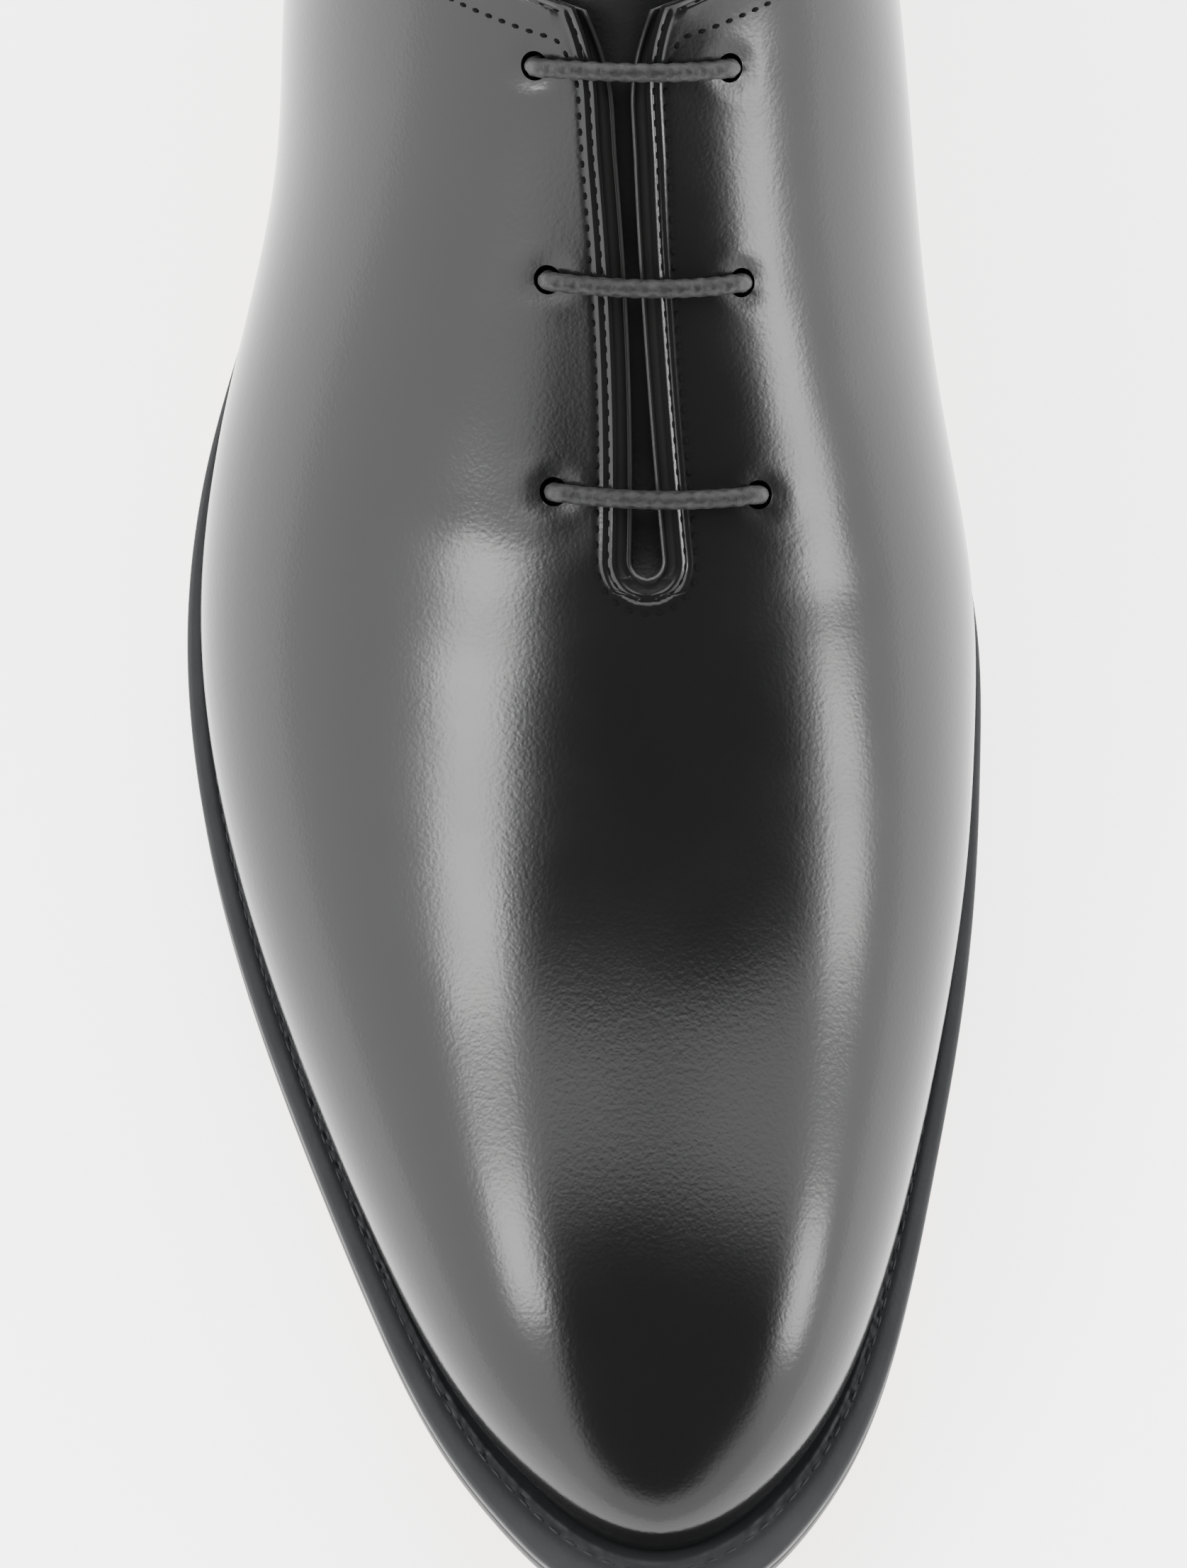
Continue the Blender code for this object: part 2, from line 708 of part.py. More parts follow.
def stand_on_origin(objects, guides):
    """Moves the pieces so that the origin is under the middle of the whole shoe, on the floor."""
    bpy.context.view_layer.update()
    points = np.concatenate([world_points(obj) for obj in objects])
    low, high = points.min(axis=0), points.max(axis=0)
    middle = Vector(((low[0] + high[0]) / 2.0, (low[1] + high[1]) / 2.0, low[2]))
    for obj in objects + guides:
        obj.location -= middle


def main():
    clear_scene()
    calf = material("black_calf", (0.012, 0.012, 0.013), 0.18)
    tongue_calf = material("tongue_calf", (0.018, 0.018, 0.019), 0.35)
    lining = material("insole_leather", (0.030, 0.028, 0.027), 0.6)
    edge = material("black_edge", (0.014, 0.014, 0.014), 0.42)
    sole = material("sole_leather", (0.42, 0.25, 0.13), 0.5)
    rubber = material("heel_rubber", (0.016, 0.016, 0.016), 0.7)
    cotton = material("waxed_cotton", (0.03, 0.03, 0.032), 0.6)
    pieces = [make_upper(calf), make_tongue(tongue_calf), make_insole(lining), make_welt(edge),
              make_outsole(sole)]
    pieces += make_heel(edge, rubber)
    pieces.append(make_lace(cotton))
    stand_on_origin(pieces, [bpy.data.objects["eyelet_cutter"]])


main()
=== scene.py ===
"""Looks of a black whole cut oxford, built over its CAD solids. Metres, +Z up, toe towards -Y."""

import math

import bmesh
import bpy
import numpy as np
from bpy.props import FloatProperty, IntProperty, PointerProperty
from mathutils import Matrix, Vector, noise
from mathutils.kdtree import KDTree


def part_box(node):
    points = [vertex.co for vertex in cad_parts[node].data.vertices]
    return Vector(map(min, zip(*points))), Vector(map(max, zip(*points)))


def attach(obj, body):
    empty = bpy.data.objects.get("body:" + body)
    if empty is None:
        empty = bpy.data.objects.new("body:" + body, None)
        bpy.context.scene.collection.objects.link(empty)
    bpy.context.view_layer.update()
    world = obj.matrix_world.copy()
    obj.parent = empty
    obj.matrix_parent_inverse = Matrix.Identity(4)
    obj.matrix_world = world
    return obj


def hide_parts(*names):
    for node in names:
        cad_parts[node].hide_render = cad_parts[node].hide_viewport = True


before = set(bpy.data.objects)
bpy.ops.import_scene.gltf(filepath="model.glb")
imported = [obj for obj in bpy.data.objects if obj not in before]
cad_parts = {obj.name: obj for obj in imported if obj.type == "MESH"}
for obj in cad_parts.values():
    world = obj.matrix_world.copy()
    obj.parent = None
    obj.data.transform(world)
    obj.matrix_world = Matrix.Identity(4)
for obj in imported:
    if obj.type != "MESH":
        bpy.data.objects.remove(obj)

bl_info = {
    "name": "Whole Cut Oxford",
    "version": (1, 0, 0),
    "blender": (4, 5, 0),
    "location": "3D View > Sidebar > Oxford",
    "description": "Builds the visible pieces of a right whole cut oxford",
    "category": "Add Mesh",
}

BODY = "root"
LATERAL, MEDIAL = -1, 1
MM = 0.001
# The upper's wall, calf and lining together, and the rounding of the welt's outer edge.
WALL = 0.0020
WELT_RIM = 0.0007
# The lace: how far its hidden run bows out and how far in its end lies, in cords, how much of a
# bend is kept clear of the bars, and where its two ends stop, as shares of the way to an eyelet.
HIDDEN_BOW = 1.7
END_INSET = 1.2
BEND_CLEAR = 1.3
TAIL_START, TAIL_END = 0.3, 0.75
# The tongue: where it starts to sink under the lace, and how wide its tip is.
TONGUE_SINK = 0.7
TONGUE_TIP = 0.72

# Ribs of the last, from the feather line up to the ridge. Along and ridge are shares of the last's
# length from the heel; lateral, medial and shift are shares of the ball's width, from a centre
# line that swings to the toe's offset; height is a share of the instep's. Crown is a share of the
# rib's reach, the walls are shares of its height, and the leans are degrees outwards.
COLUMNS = ("along", "lateral", "medial", "ridge", "shift", "height", "crown", "wall_lateral",
           "wall_medial", "lean_lateral", "lean_medial", "ledge")
RIBS = (
    (0.000, 0.000, 0.000, 0.120, 0.000, 1.200, 0.92, 0.46, 0.46, 11.0, 11.0, 0.30),
    (0.010, 0.125, 0.125, 0.121, 0.000, 1.200, 0.91, 0.46, 0.46, 11.0, 11.0, 0.30),
    (0.035, 0.218, 0.218, 0.125, 0.000, 1.200, 0.90, 0.46, 0.46, 11.0, 11.0, 0.30),
    (0.110, 0.314, 0.307, 0.145, 0.000, 1.200, 0.86, 0.46, 0.46, 12.0, 12.0, 0.30),
    (0.200, 0.335, 0.300, 0.205, -0.002, 1.190, 0.77, 0.46, 0.48, 16.0, 17.0, 0.29),
    (0.310, 0.397, 0.290, 0.310, -0.002, 1.110, 0.62, 0.44, 0.52, 25.0, 28.0, 0.31),
    (0.400, 0.437, 0.323, 0.400, -0.002, 1.000, 0.51, 0.42, 0.53, 23.0, 31.0, 0.41),
    (0.500, 0.526, 0.397, 0.500, 0.012, 0.920, 0.46, 0.40, 0.51, 23.0, 23.0, 0.51),
    (0.575, 0.556, 0.439, 0.575, 0.021, 0.815, 0.46, 0.40, 0.49, 27.0, 24.0, 0.54),
    (0.630, 0.548, 0.437, 0.630, 0.023, 0.730, 0.47, 0.41, 0.49, 28.0, 26.0, 0.54),
    (0.692, 0.516, 0.422, 0.692, 0.018, 0.640, 0.49, 0.43, 0.49, 26.0, 27.0, 0.54),
    (0.756, 0.462, 0.393, 0.756, 0.011, 0.554, 0.52, 0.46, 0.49, 24.0, 26.0, 0.54),
    (0.820, 0.394, 0.350, 0.820, 0.005, 0.484, 0.56, 0.50, 0.50, 22.0, 24.0, 0.55),
    (0.884, 0.317, 0.297, 0.884, 0.001, 0.404, 0.61, 0.54, 0.53, 19.0, 20.0, 0.60),
    (0.946, 0.220, 0.217, 0.945, 0.000, 0.280, 0.63, 0.56, 0.55, 13.0, 13.0, 0.70),
    (0.975, 0.146, 0.148, 0.975, 0.000, 0.189, 0.62, 0.56, 0.56, 7.0, 7.0, 0.81),
    (0.993, 0.076, 0.077, 0.994, 0.000, 0.100, 0.59, 0.55, 0.55, 2.0, 2.0, 0.94),
    (1.000, 0.000, 0.000, 1.000, 0.000, 0.000, 0.56, 0.55, 0.55, 0.0, 0.0, 1.00),
)
# Top edge of the quarters: shares of the last's length from the heel, and of the back height.
COLLAR = ((0.00, 1.00), (0.06, 0.96), (0.13, 0.86), (0.20, 0.805), (0.27, 0.82), (0.33, 0.89),
          (0.37, 0.99), (0.40, 1.06), (0.46, 1.30))

# Relief of the calf beside its cut edge, in millimetres: distance from the edge, width, height.
# A folded bead, the groove of the inner stitch row, a ridge, and the groove of the outer row.
EDGE_RELIEF = ((0.36, 0.26, 0.10), (1.02, 0.22, -0.15), (1.64, 0.30, 0.10), (2.50, 0.40, -0.02))
INNER_ROW, OUTER_ROW = 1, 3
# The same for the lining, whose edge is folded as well.
LINING_RELIEF = ((0.42, 0.26, 0.17), (1.20, 0.45, -0.10))

# Where the facings start to rise over the tongue and where they are up, past the closed end.
SWELL = {-1: (-1.0, 8.0), 1: (36.0, 52.0)}
SWELL_RISE = 0.45
SWELL_WIDTH = 4.2

# Leather round an eyelet: drawn in, a low ring outside that, and short folds that run out from it.
# Distance from the eyelet's middle, width and height, in millimetres.
EYELET_DIP = (1.9, 1.1, -0.15)
EYELET_RING = (4.2, 1.4, 0.03)
EYELET_FOLDS = (3.6, 1.8, 0.025)
EYELET_REACH = 12.0

# Closed seam down the back: distance from its middle, width and height, in millimetres. It runs
# behind this share of the last's length.
SEAM_RELIEF = ((0.0, 0.38, -0.22), (1.1, 0.5, 0.10))
SEAM_BEHIND = -0.05

# Low, wide waves of the drawn leather: waves per metre and height in millimetres.
WAVES = ((34.0, 0.045), (85.0, 0.010))

# Soft creases: where on the ridge as a share of the last's length, distance from the ridge to the
# side, turn in degrees from straight across, half length, width and height, all in millimetres.
CREASES = (
    (0.585, -27.0, 24.0, 19.0, 5.0, -0.16),
    (0.612, 22.0, -20.0, 16.0, 4.6, -0.14),
    (0.640, -20.0, 16.0, 22.0, 6.0, -0.12),
    (0.520, 38.0, -35.0, 15.0, 5.0, -0.12),
    (0.215, -52.0, 60.0, 12.0, 5.0, -0.15),
    (0.220, 50.0, -60.0, 12.0, 5.0, -0.15),
)


def size(name, description, default):
    return FloatProperty(name=name, description=description, default=default, min=0.0,
                         precision=5, unit="LENGTH", subtype="DISTANCE")


def share(name, description, default):
    return FloatProperty(name=name, description=description, default=default, subtype="FACTOR")


def number(name, description, default):
    return FloatProperty(name=name, description=description, default=default)


class LastSizes(bpy.types.PropertyGroup):
    length: size("Length", "Feather line, back of the heel to the tip of the toe", 0.3056)
    ball_width: size("Ball width", "Feather line, across the ball", 0.1001)
    instep: size("Instep height", "Ridge over the feather line at the top of the lacing", 0.0700)
    toe_offset: size("Toe offset", "Tip of the toe to the medial side of the heel", 0.0055)


class UpperSizes(bpy.types.PropertyGroup):
    calf: size("Calf", "Thickness of the outer leather", 0.0012)
    lining: size("Lining", "Thickness of the lining", 0.0007)
    lip: size("Lining lip", "How far the lining stands out past the calf in the throat", 0.0019)
    back_height: size("Back height", "Top edge over the heel seat at the back", 0.0590)
    flare: size("Flare", "How softly the facings turn into the top edge", 0.0160)
    stitch: size("Stitch", "Length of one stitch", 0.0011)
    stitch_pitch: size("Stitch pitch", "From one stitch to the next", 0.00205)
    thread: size("Thread", "Thickness of the sewing thread", 0.00062)
    parting: size("Parting", "How far the outer row leaves the edge above the lacing", 0.0042)


class BottomSizes(bpy.types.PropertyGroup):
    outsole: size("Outsole", "Thickness of the outsole", 0.0050)
    welt: size("Welt", "Thickness of the welt", 0.0030)
    insole: size("Insole", "Insole over the welt", 0.0028)
    ledge: size("Ledge", "How far the sole stands out at the toe", 0.0078)
    gap: size("Gap", "Gap between two pieces that meet", 0.0003)
    spring: size("Toe spring", "Tip of the sole over the floor", 0.0120)
    spring_power: number("Spring power", "How late the spring starts", 2.2)
    tread_from: share("Tread from", "Start of the flat stretch from the heel", 0.635)
    tread_to: share("Tread to", "End of the flat stretch from the heel", 0.680)
    breast: share("Heel breast", "Front of the heel", 0.235)
    hollow: size("Breast hollow", "Depth of the curve in the heel's front", 0.0030)
    lifts: IntProperty(name="Lifts", description="Number of heel lifts", default=4)
    lift: size("Lift", "Thickness of one heel lift", 0.0046)
    top_piece: size("Top piece", "Thickness of the rubber top piece", 0.0060)
    taper: size("Taper", "How far the heel draws in to the floor", 0.0030)


class LacingSizes(bpy.types.PropertyGroup):
    end: size("Throat end", "Tip of the last to the closed end of the throat", 0.1170)
    gap: size("Throat gap", "Width at the closed end", 0.0081)
    waist: size("Throat waist", "Width at the middle eyelets", 0.0058)
    rows: IntProperty(name="Rows", description="Eyelets on each side", default=3)
    first: size("First eyelet", "Closed end to the first eyelet", 0.0129)
    pitch: size("Eyelet pitch", "From one eyelet to the next", 0.0242)
    inset_lateral: size("Lateral inset", "Edge to the lateral eyelets", 0.0084)
    inset_medial: size("Medial inset", "Edge to the medial eyelets", 0.0120)
    hole: size("Eyelet", "Width of an eyelet", 0.0038)
    cord: size("Lace", "Thickness of the lace", 0.0025)
    sag: size("Lace sag", "How far the middle of a bar sags to the toe", 0.0014)
    tongue: size("Tongue wall", "Thickness of the tongue", 0.0016)
    tongue_width: size("Tongue width", "Width of the tongue", 0.0500)
    tongue_ahead: size("Tongue ahead", "How far the tongue reaches past the closed end", 0.0180)
    tongue_length: size("Tongue length", "Length of the tongue, level", 0.0960)


class StageSizes(bpy.types.PropertyGroup):
    distance: size("Camera distance", "From the camera to the point that it looks at", 0.9491)
    elevation: number("Elevation", "Camera over the horizon in degrees", 72.27)
    lens: number("Lens", "Focal length in millimetres", 162.6)
    turn: number("Turn", "Camera round the shoe in degrees", -0.31)
    roll: number("Roll", "Camera round its own axis in degrees", 0.18)
    lateral_light: number("Lateral light", "Radiance of its softbox", 22.0)
    medial_light: number("Medial light", "Radiance of its softbox", 18.5)
    light_ahead: share("Light ahead", "How far towards the toe the softboxes stand", 0.17)
    light_reach: size("Light reach", "From the shoe to each softbox", 4.0)
    light_length: size("Light length", "Length of each softbox, heel to toe", 1.0)
    tent: number("Tent", "Radiance of the pale tent", 4.8)
    opening: number("Opening", "Radiance over the toe", 0.20)
    floor_glow: number("Floor glow", "Light of the white floor", 2.2)


# Shape of the last

def natural_spline(knots, values):
    """A smooth curve through each column of values at the knots."""
    knots = np.asarray(knots, float)
    values = np.asarray(values, float)
    steps = np.diff(knots)
    slopes = np.diff(values, axis=0) / steps[:, None]
    system = np.eye(len(knots))
    right = np.zeros_like(values)
    for k in range(1, len(knots) - 1):
        system[k, k - 1 : k + 2] = steps[k - 1], 2.0 * (steps[k - 1] + steps[k]), steps[k]
        right[k] = 6.0 * (slopes[k] - slopes[k - 1])
    bends = np.linalg.solve(system, right)

    def curve(at):
        k = min(max(int(np.searchsorted(knots, at, side="right")) - 1, 0), len(knots) - 2)
        a = (knots[k + 1] - at) / steps[k]
        b = 1.0 - a
        swell = (a**3 - a) * bends[k] + (b**3 - b) * bends[k + 1]
        return a * values[k] + b * values[k + 1] + swell * steps[k] ** 2 / 6.0

    return curve


def reflected(row, at_toe):
    """A rib past the heel's back or the toe's tip, where the two sides change places."""
    named = dict(zip(COLUMNS, row))
    for lateral, medial in (("lateral", "medial"), ("wall_lateral", "wall_medial"),
                            ("lean_lateral", "lean_medial")):
        named[lateral], named[medial] = named[medial], named[lateral]
    named["lateral"] *= -1.0
    named["medial"] *= -1.0
    if at_toe:
        named["height"] *= -1.0
    return tuple(named[column] for column in COLUMNS)


class Shoe:
    """Surfaces and lines of the shoe, worked out from the sizes in the panel."""

    def __init__(self, scene):
        self.last = scene.oxford_last
        self.upper = scene.oxford_upper
        self.bottom = scene.oxford_bottom
        self.lacing = scene.oxford_lacing
        self.rib_at = self.ribs_curve()
        self.collar_at = natural_spline([row[0] for row in COLLAR], [row[1:] for row in COLLAR])
        self.grid = np.linspace(0.0, 1.0, 801)
        rows = [self.rib_at(s) for s in self.grid]
        self.tops = np.array([row[COLUMNS.index("ridge")] for row in rows]) * self.last.length
        self.feet = np.array([row[COLUMNS.index("along")] for row in rows])
        self.shift = self.frame_shift()

    def ribs_curve(self):
        rows = [reflected(row, False) for row in RIBS[3:0:-1]] + list(RIBS)
        rows += [reflected(row, True) for row in RIBS[-2:-5:-1]]
        table = np.array(rows)
        across = (table[:, 1] + table[:, 2]) / 2.0 * self.last.ball_width
        steps = np.hypot(np.diff(table[:, 0]) * self.last.length, np.diff(across))
        knots = np.cumsum(np.r_[0.0, steps])
        first, last = knots[3], knots[2 + len(RIBS)]
        return natural_spline((knots - first) / (last - first), table)

    def frame_shift(self):
        """From the last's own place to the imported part's, read off the outsole."""
        low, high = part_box("outsole")
        edge = np.array([self.outline(s, side, self.ledge(s))
                         for s in self.grid[::4] for side in (LATERAL, MEDIAL)])
        middle = (edge.min(axis=0) + edge.max(axis=0)) / 2.0
        return np.array([(low.x + high.x) / 2.0 - middle[0], (low.y + high.y) / 2.0 - middle[1], 0.0])

    def heel_height(self):
        return self.bottom.top_piece + self.bottom.lifts * (self.bottom.lift + self.bottom.gap) \
            + self.bottom.gap

    def tread(self, y):
        along = -y / self.last.length
        low, high = self.bottom.breast, self.bottom.tread_from
        rise = min(max((high - along) / (high - low), 0.0), 1.0)
        spring = max((along - self.bottom.tread_to) / (1.0 - self.bottom.tread_to), 0.0)
        arch = rise**3 * (10.0 - 15.0 * rise + 6.0 * rise**2)
        return self.heel_height() * arch + self.bottom.spring * spring**self.bottom.spring_power

    def welt_foot(self, y):
        return self.tread(y) + self.bottom.outsole + self.bottom.gap

    def feather(self, y):
        return self.welt_foot(y) + self.bottom.welt + self.bottom.gap

    def rib(self, s):
        return dict(zip(COLUMNS, self.rib_at(s)))

    def swing(self, along):
        return self.last.toe_offset * along**2

    def edge_point(self, s, side):
        row = self.rib(s)
        half = row["lateral"] if side == LATERAL else row["medial"]
        return np.array([self.swing(row["along"]) + side * half * self.last.ball_width,
                         -row["along"] * self.last.length])

    def edge_normal(self, s, side, step=1e-4):
        if s < step or s > 1.0 - step:
            return np.array([0.0, 1.0 if s < step else -1.0])
        along = self.edge_point(s + step, side) - self.edge_point(s - step, side)
        out = np.array([-along[1], along[0]]) * side
        return out / np.linalg.norm(out)

    def rib_points(self, s, side, t):
        row = self.rib(s)
        name = "lateral" if side == LATERAL else "medial"
        plan = self.edge_point(s, side)
        foot = np.array([plan[0], plan[1], self.feather(plan[1])])
        height = row["height"] * self.last.instep
        top = np.array([self.swing(row["ridge"]) + row["shift"] * self.last.ball_width,
                        -row["ridge"] * self.last.length, foot[2] + height])
        wall, lean = row["wall_" + name], math.radians(row["lean_" + name])
        out = self.edge_normal(s, side) * math.tan(lean)
        low = foot + np.array([out[0], out[1], 1.0]) * wall * height
        reach = [np.linalg.norm(self.edge_point(s, each) - top[:2]) for each in (LATERAL, MEDIAL)]
        mean = (row["wall_lateral"] + row["wall_medial"]) / 2.0
        evener = math.sqrt((1.0 - wall) / (1.0 - mean))
        away = foot[:2] - top[:2]
        length = np.linalg.norm(away)
        way = away / length if length > 1e-9 else away * 0.0
        high = top + np.array([way[0], way[1], 0.0]) * row["crown"] * sum(reach) / 2.0 * evener
        t = np.asarray(t, float)[:, None]
        u = 1.0 - t
        return u**3 * foot + 3.0 * u * u * t * low + 3.0 * u * t * t * high + t**3 * top

    def girth(self, s, side, count=97):
        """Parameters along a rib, with their distance from the ridge and their height."""
        t = np.linspace(0.0, 1.0, count)
        points = self.rib_points(s, side, t)
        pieces = np.linalg.norm(np.diff(points, axis=0), axis=1)
        return t, np.r_[np.cumsum(pieces[::-1])[::-1], 0.0], points[:, 2]

    def rib_line(self, s, side, distances):
        """Points of one rib at distances from the ridge."""
        t, from_ridge, _ = self.girth(s, side)
        return self.rib_points(s, side, np.interp(distances, from_ridge[::-1], t[::-1]))

    def skin(self, s, side, distance, depth=0.0):
        """A point at a distance from the ridge, depth under the last's surface, and its normal."""
        t, from_ridge, _ = self.girth(s, side)
        at = float(np.interp(distance, from_ridge[::-1], t[::-1]))
        step = 1e-3
        low, here, high = self.rib_points(s, side, [max(at - step, 0.0), at, min(at + step, 1.0)])
        ahead = self.rib_line(s + step, side, [distance])[0]
        behind = self.rib_line(s - step, side, [distance])[0]
        normal = np.cross(high - low, ahead - behind) * side
        normal /= np.linalg.norm(normal)
        return here - normal * depth, normal

    def s_at_ridge(self, y):
        return float(np.interp(-y, self.tops, self.grid))

    def s_at_foot(self, along):
        return float(np.interp(along, self.feet, self.grid))

    def throat_end(self):
        return -(self.last.length - self.lacing.end)

    def half_gap(self, y, out=0.0):
        """Half of the throat's width on the ridge at y, widened by out, with its round end."""
        behind = y - self.throat_end() + out
        radius = self.lacing.gap / 2.0
        wide = radius + out
        if behind <= 0.0:
            return 0.0
        if behind < wide:
            return math.sqrt(wide**2 - (wide - behind) ** 2)
        middle = self.lacing.first + self.lacing.pitch
        done = min(max((behind - out - radius) / (middle - radius), 0.0), 1.4)
        return wide + (self.lacing.waist - self.lacing.gap) / 2.0 * done * (2.0 - done)

    def edge_distance(self, s, side, out=0.0, raised=0.0):
        """How far from the ridge the upper ends on this rib: at the throat or at the top edge."""
        row = self.rib(s)
        slot = self.half_gap(-row["ridge"] * self.last.length, out)
        if slot == 0.0:
            return 0.0
        _, from_ridge, heights = self.girth(s, side)
        level = self.feather(0.0) + self.upper.back_height * \
            self.collar_at(min(row["along"], COLLAR[-1][0]))[0] - out + raised
        if level >= heights[-1]:
            top_edge = heights[-1] - level
        else:
            top_edge = float(np.interp(level, heights, from_ridge))
        near = max(self.upper.flare - abs(slot - top_edge), 0.0) / self.upper.flare
        return max(slot, top_edge) + near**2 * self.upper.flare / 4.0

    def outline(self, s, side, out):
        return self.edge_point(s, side) + self.edge_normal(s, side) * out

    def ledge(self, s):
        return self.rib(s)["ledge"] * self.bottom.ledge

    def eyelets(self):
        places = {LATERAL: [], MEDIAL: []}
        for row in range(self.lacing.rows):
            y = self.throat_end() + self.lacing.first + row * self.lacing.pitch
            for side, inset in ((LATERAL, self.lacing.inset_lateral),
                                (MEDIAL, self.lacing.inset_medial)):
                places[side].append((self.s_at_ridge(y), self.half_gap(y) + inset))
        return places

    def perimeter(self, count):
        """(s, side) round the whole sole, evenly spaced, starting at the back of the heel."""
        fine = [(s, LATERAL) for s in self.grid] + [(s, MEDIAL) for s in self.grid[-2:0:-1]]
        points = np.array([self.edge_point(s, side) for s, side in fine + fine[:1]])
        reach = np.r_[0.0, np.cumsum(np.linalg.norm(np.diff(points, axis=0), axis=1))]
        # One parameter that runs 0 to 1 on the lateral side and 1 to 2 back on the medial side.
        turn = np.array([s if side == LATERAL else 2.0 - s for s, side in fine] + [2.0])
        at = np.interp(np.arange(count) * reach[-1] / count, reach, turn)
        return [(a, LATERAL) if a <= 1.0 else (2.0 - a, MEDIAL) for a in at]


# Meshes

def grid_into(bm, points):
    """A grid of faces laid over an array of points, rows by columns."""
    rows, columns = points.shape[:2]
    made = bmesh.ops.create_grid(bm, x_segments=columns - 1, y_segments=rows - 1, size=1.0)["verts"]
    for vert, point in zip(made, points.reshape(-1, 3)):
        vert.co = point
    return made


def weld(bm, near=2e-6):
    bmesh.ops.remove_doubles(bm, verts=bm.verts, dist=near)
    bmesh.ops.dissolve_degenerate(bm, edges=bm.edges, dist=1e-7)
    bmesh.ops.recalc_face_normals(bm, faces=bm.faces)


def add_piece(name, bm, finish, shoe, replaced=(), sharp=50.0):
    bmesh.ops.translate(bm, verts=bm.verts, vec=Vector(shoe.shift))
    mesh = bpy.data.meshes.new(name)
    bm.to_mesh(mesh)
    bm.free()
    mesh.shade_smooth()
    mesh.set_sharp_from_angle(angle=math.radians(sharp))
    mesh.materials.append(finish)
    piece = bpy.data.objects.new(name, mesh)
    bpy.context.scene.collection.objects.link(piece)
    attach(piece, BODY)
    if replaced:
        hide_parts(*replaced)
    return piece


def bake(piece, sharp=50.0):
    """Applies a piece's modifiers to its mesh."""
    bpy.context.view_layer.update()
    graph = bpy.context.evaluated_depsgraph_get()
    mesh = bpy.data.meshes.new_from_object(piece.evaluated_get(graph))
    if not len(mesh.polygons):
        raise RuntimeError("modifiers left nothing of " + piece.name)
    piece.modifiers.clear()
    piece.data = mesh
    mesh.shade_smooth()
    mesh.set_sharp_from_angle(angle=math.radians(sharp))


def grid_normals(points, side):
    """Unit normals of a half's points, away from the foot."""
    down = np.gradient(points, axis=0)
    across = np.gradient(points, axis=1)
    normals = np.cross(across, down)
    length = np.linalg.norm(normals, axis=2, keepdims=True)
    normals = np.where(length > 1e-14, normals / np.maximum(length, 1e-14), 0.0)
    wall = normals[len(points) // 3, -1]
    return normals if np.sign(wall[0]) == side else -normals


def spread(shoe, coarse, dense):
    """Rib parameters whose spacing narrows to each (from y, to y, spacing) stretch."""
    step = np.full(len(shoe.grid), coarse)
    y = -shoe.tops
    for low, high, spacing in dense:
        step = np.where((y >= low) & (y <= high), np.minimum(step, spacing), step)
    step[shoe.grid < 0.008] = np.minimum(step[shoe.grid < 0.008], 0.0005)
    step[shoe.grid > 0.955] = np.minimum(step[shoe.grid > 0.955], 0.0008)
    density = 1.08 * shoe.last.length / step
    total = np.r_[0.0, np.cumsum((density[1:] + density[:-1]) / 2.0 * np.diff(shoe.grid))]
    return np.interp(np.linspace(0.0, total[-1], int(total[-1]) + 1), total, shoe.grid)


def from_edge(shoe, flat, out=0.0, raised=0.0, count=1200, step=0.00005):
    """How far each point is from the cut edge, in millimetres. Out moves that edge."""
    lines = []
    for side in (LATERAL, MEDIAL):
        line = []
        for s in np.linspace(0.0, shoe.s_at_ridge(shoe.throat_end() - out) - 1e-5, count):
            distance = shoe.edge_distance(s, side, out, raised)
            if distance > 0.0:
                line.append(shoe.rib_line(s, side, [distance])[0])
        line = np.array(line)
        reach = np.r_[0.0, np.cumsum(np.linalg.norm(np.diff(line, axis=0), axis=1))]
        at = np.arange(0.0, reach[-1], step)
        lines.append(np.column_stack([np.interp(at, reach, line[:, k]) for k in range(3)]))
    lines = np.concatenate(lines)
    tree = KDTree(len(lines))
    for k, point in enumerate(lines):
        tree.insert(point, k)
    tree.balance()
    return np.array([tree.find(point)[2] for point in flat]) / MM


# Upper

def bell(away, place, width):
    """A soft hump, 1 high at a place."""
    return np.exp(-(((away - place) / width) ** 2))


def eased(value, start, full):
    """A smooth rise from 0 at start to 1 at full."""
    done = np.clip((value - start) / (full - start), 0.0, 1.0)
    return done * done * (3.0 - 2.0 * done)


def parted(shoe, y):
    """How far along the outer stitch row has left the edge, above the top eyelets."""
    top = shoe.throat_end() + shoe.lacing.first + (shoe.lacing.rows - 1) * shoe.lacing.pitch
    return eased(y, top - 0.003, top + 0.012)


def edge_height(shoe, away, y, side):
    """Relief beside the cut edge: grooves, ridges and the facings' rise over the tongue, in mm."""
    height = np.zeros_like(away)
    for k, (place, width, rise) in enumerate(EDGE_RELIEF):
        if k == OUTER_ROW:
            place = place + shoe.upper.parting / MM * parted(shoe, y)
        height += rise * bell(away, place, width)
    start, full = SWELL[side]
    risen = eased((y - shoe.throat_end()) / MM, start, full)
    return height + SWELL_RISE * risen * bell(away, 0.0, SWELL_WIDTH)


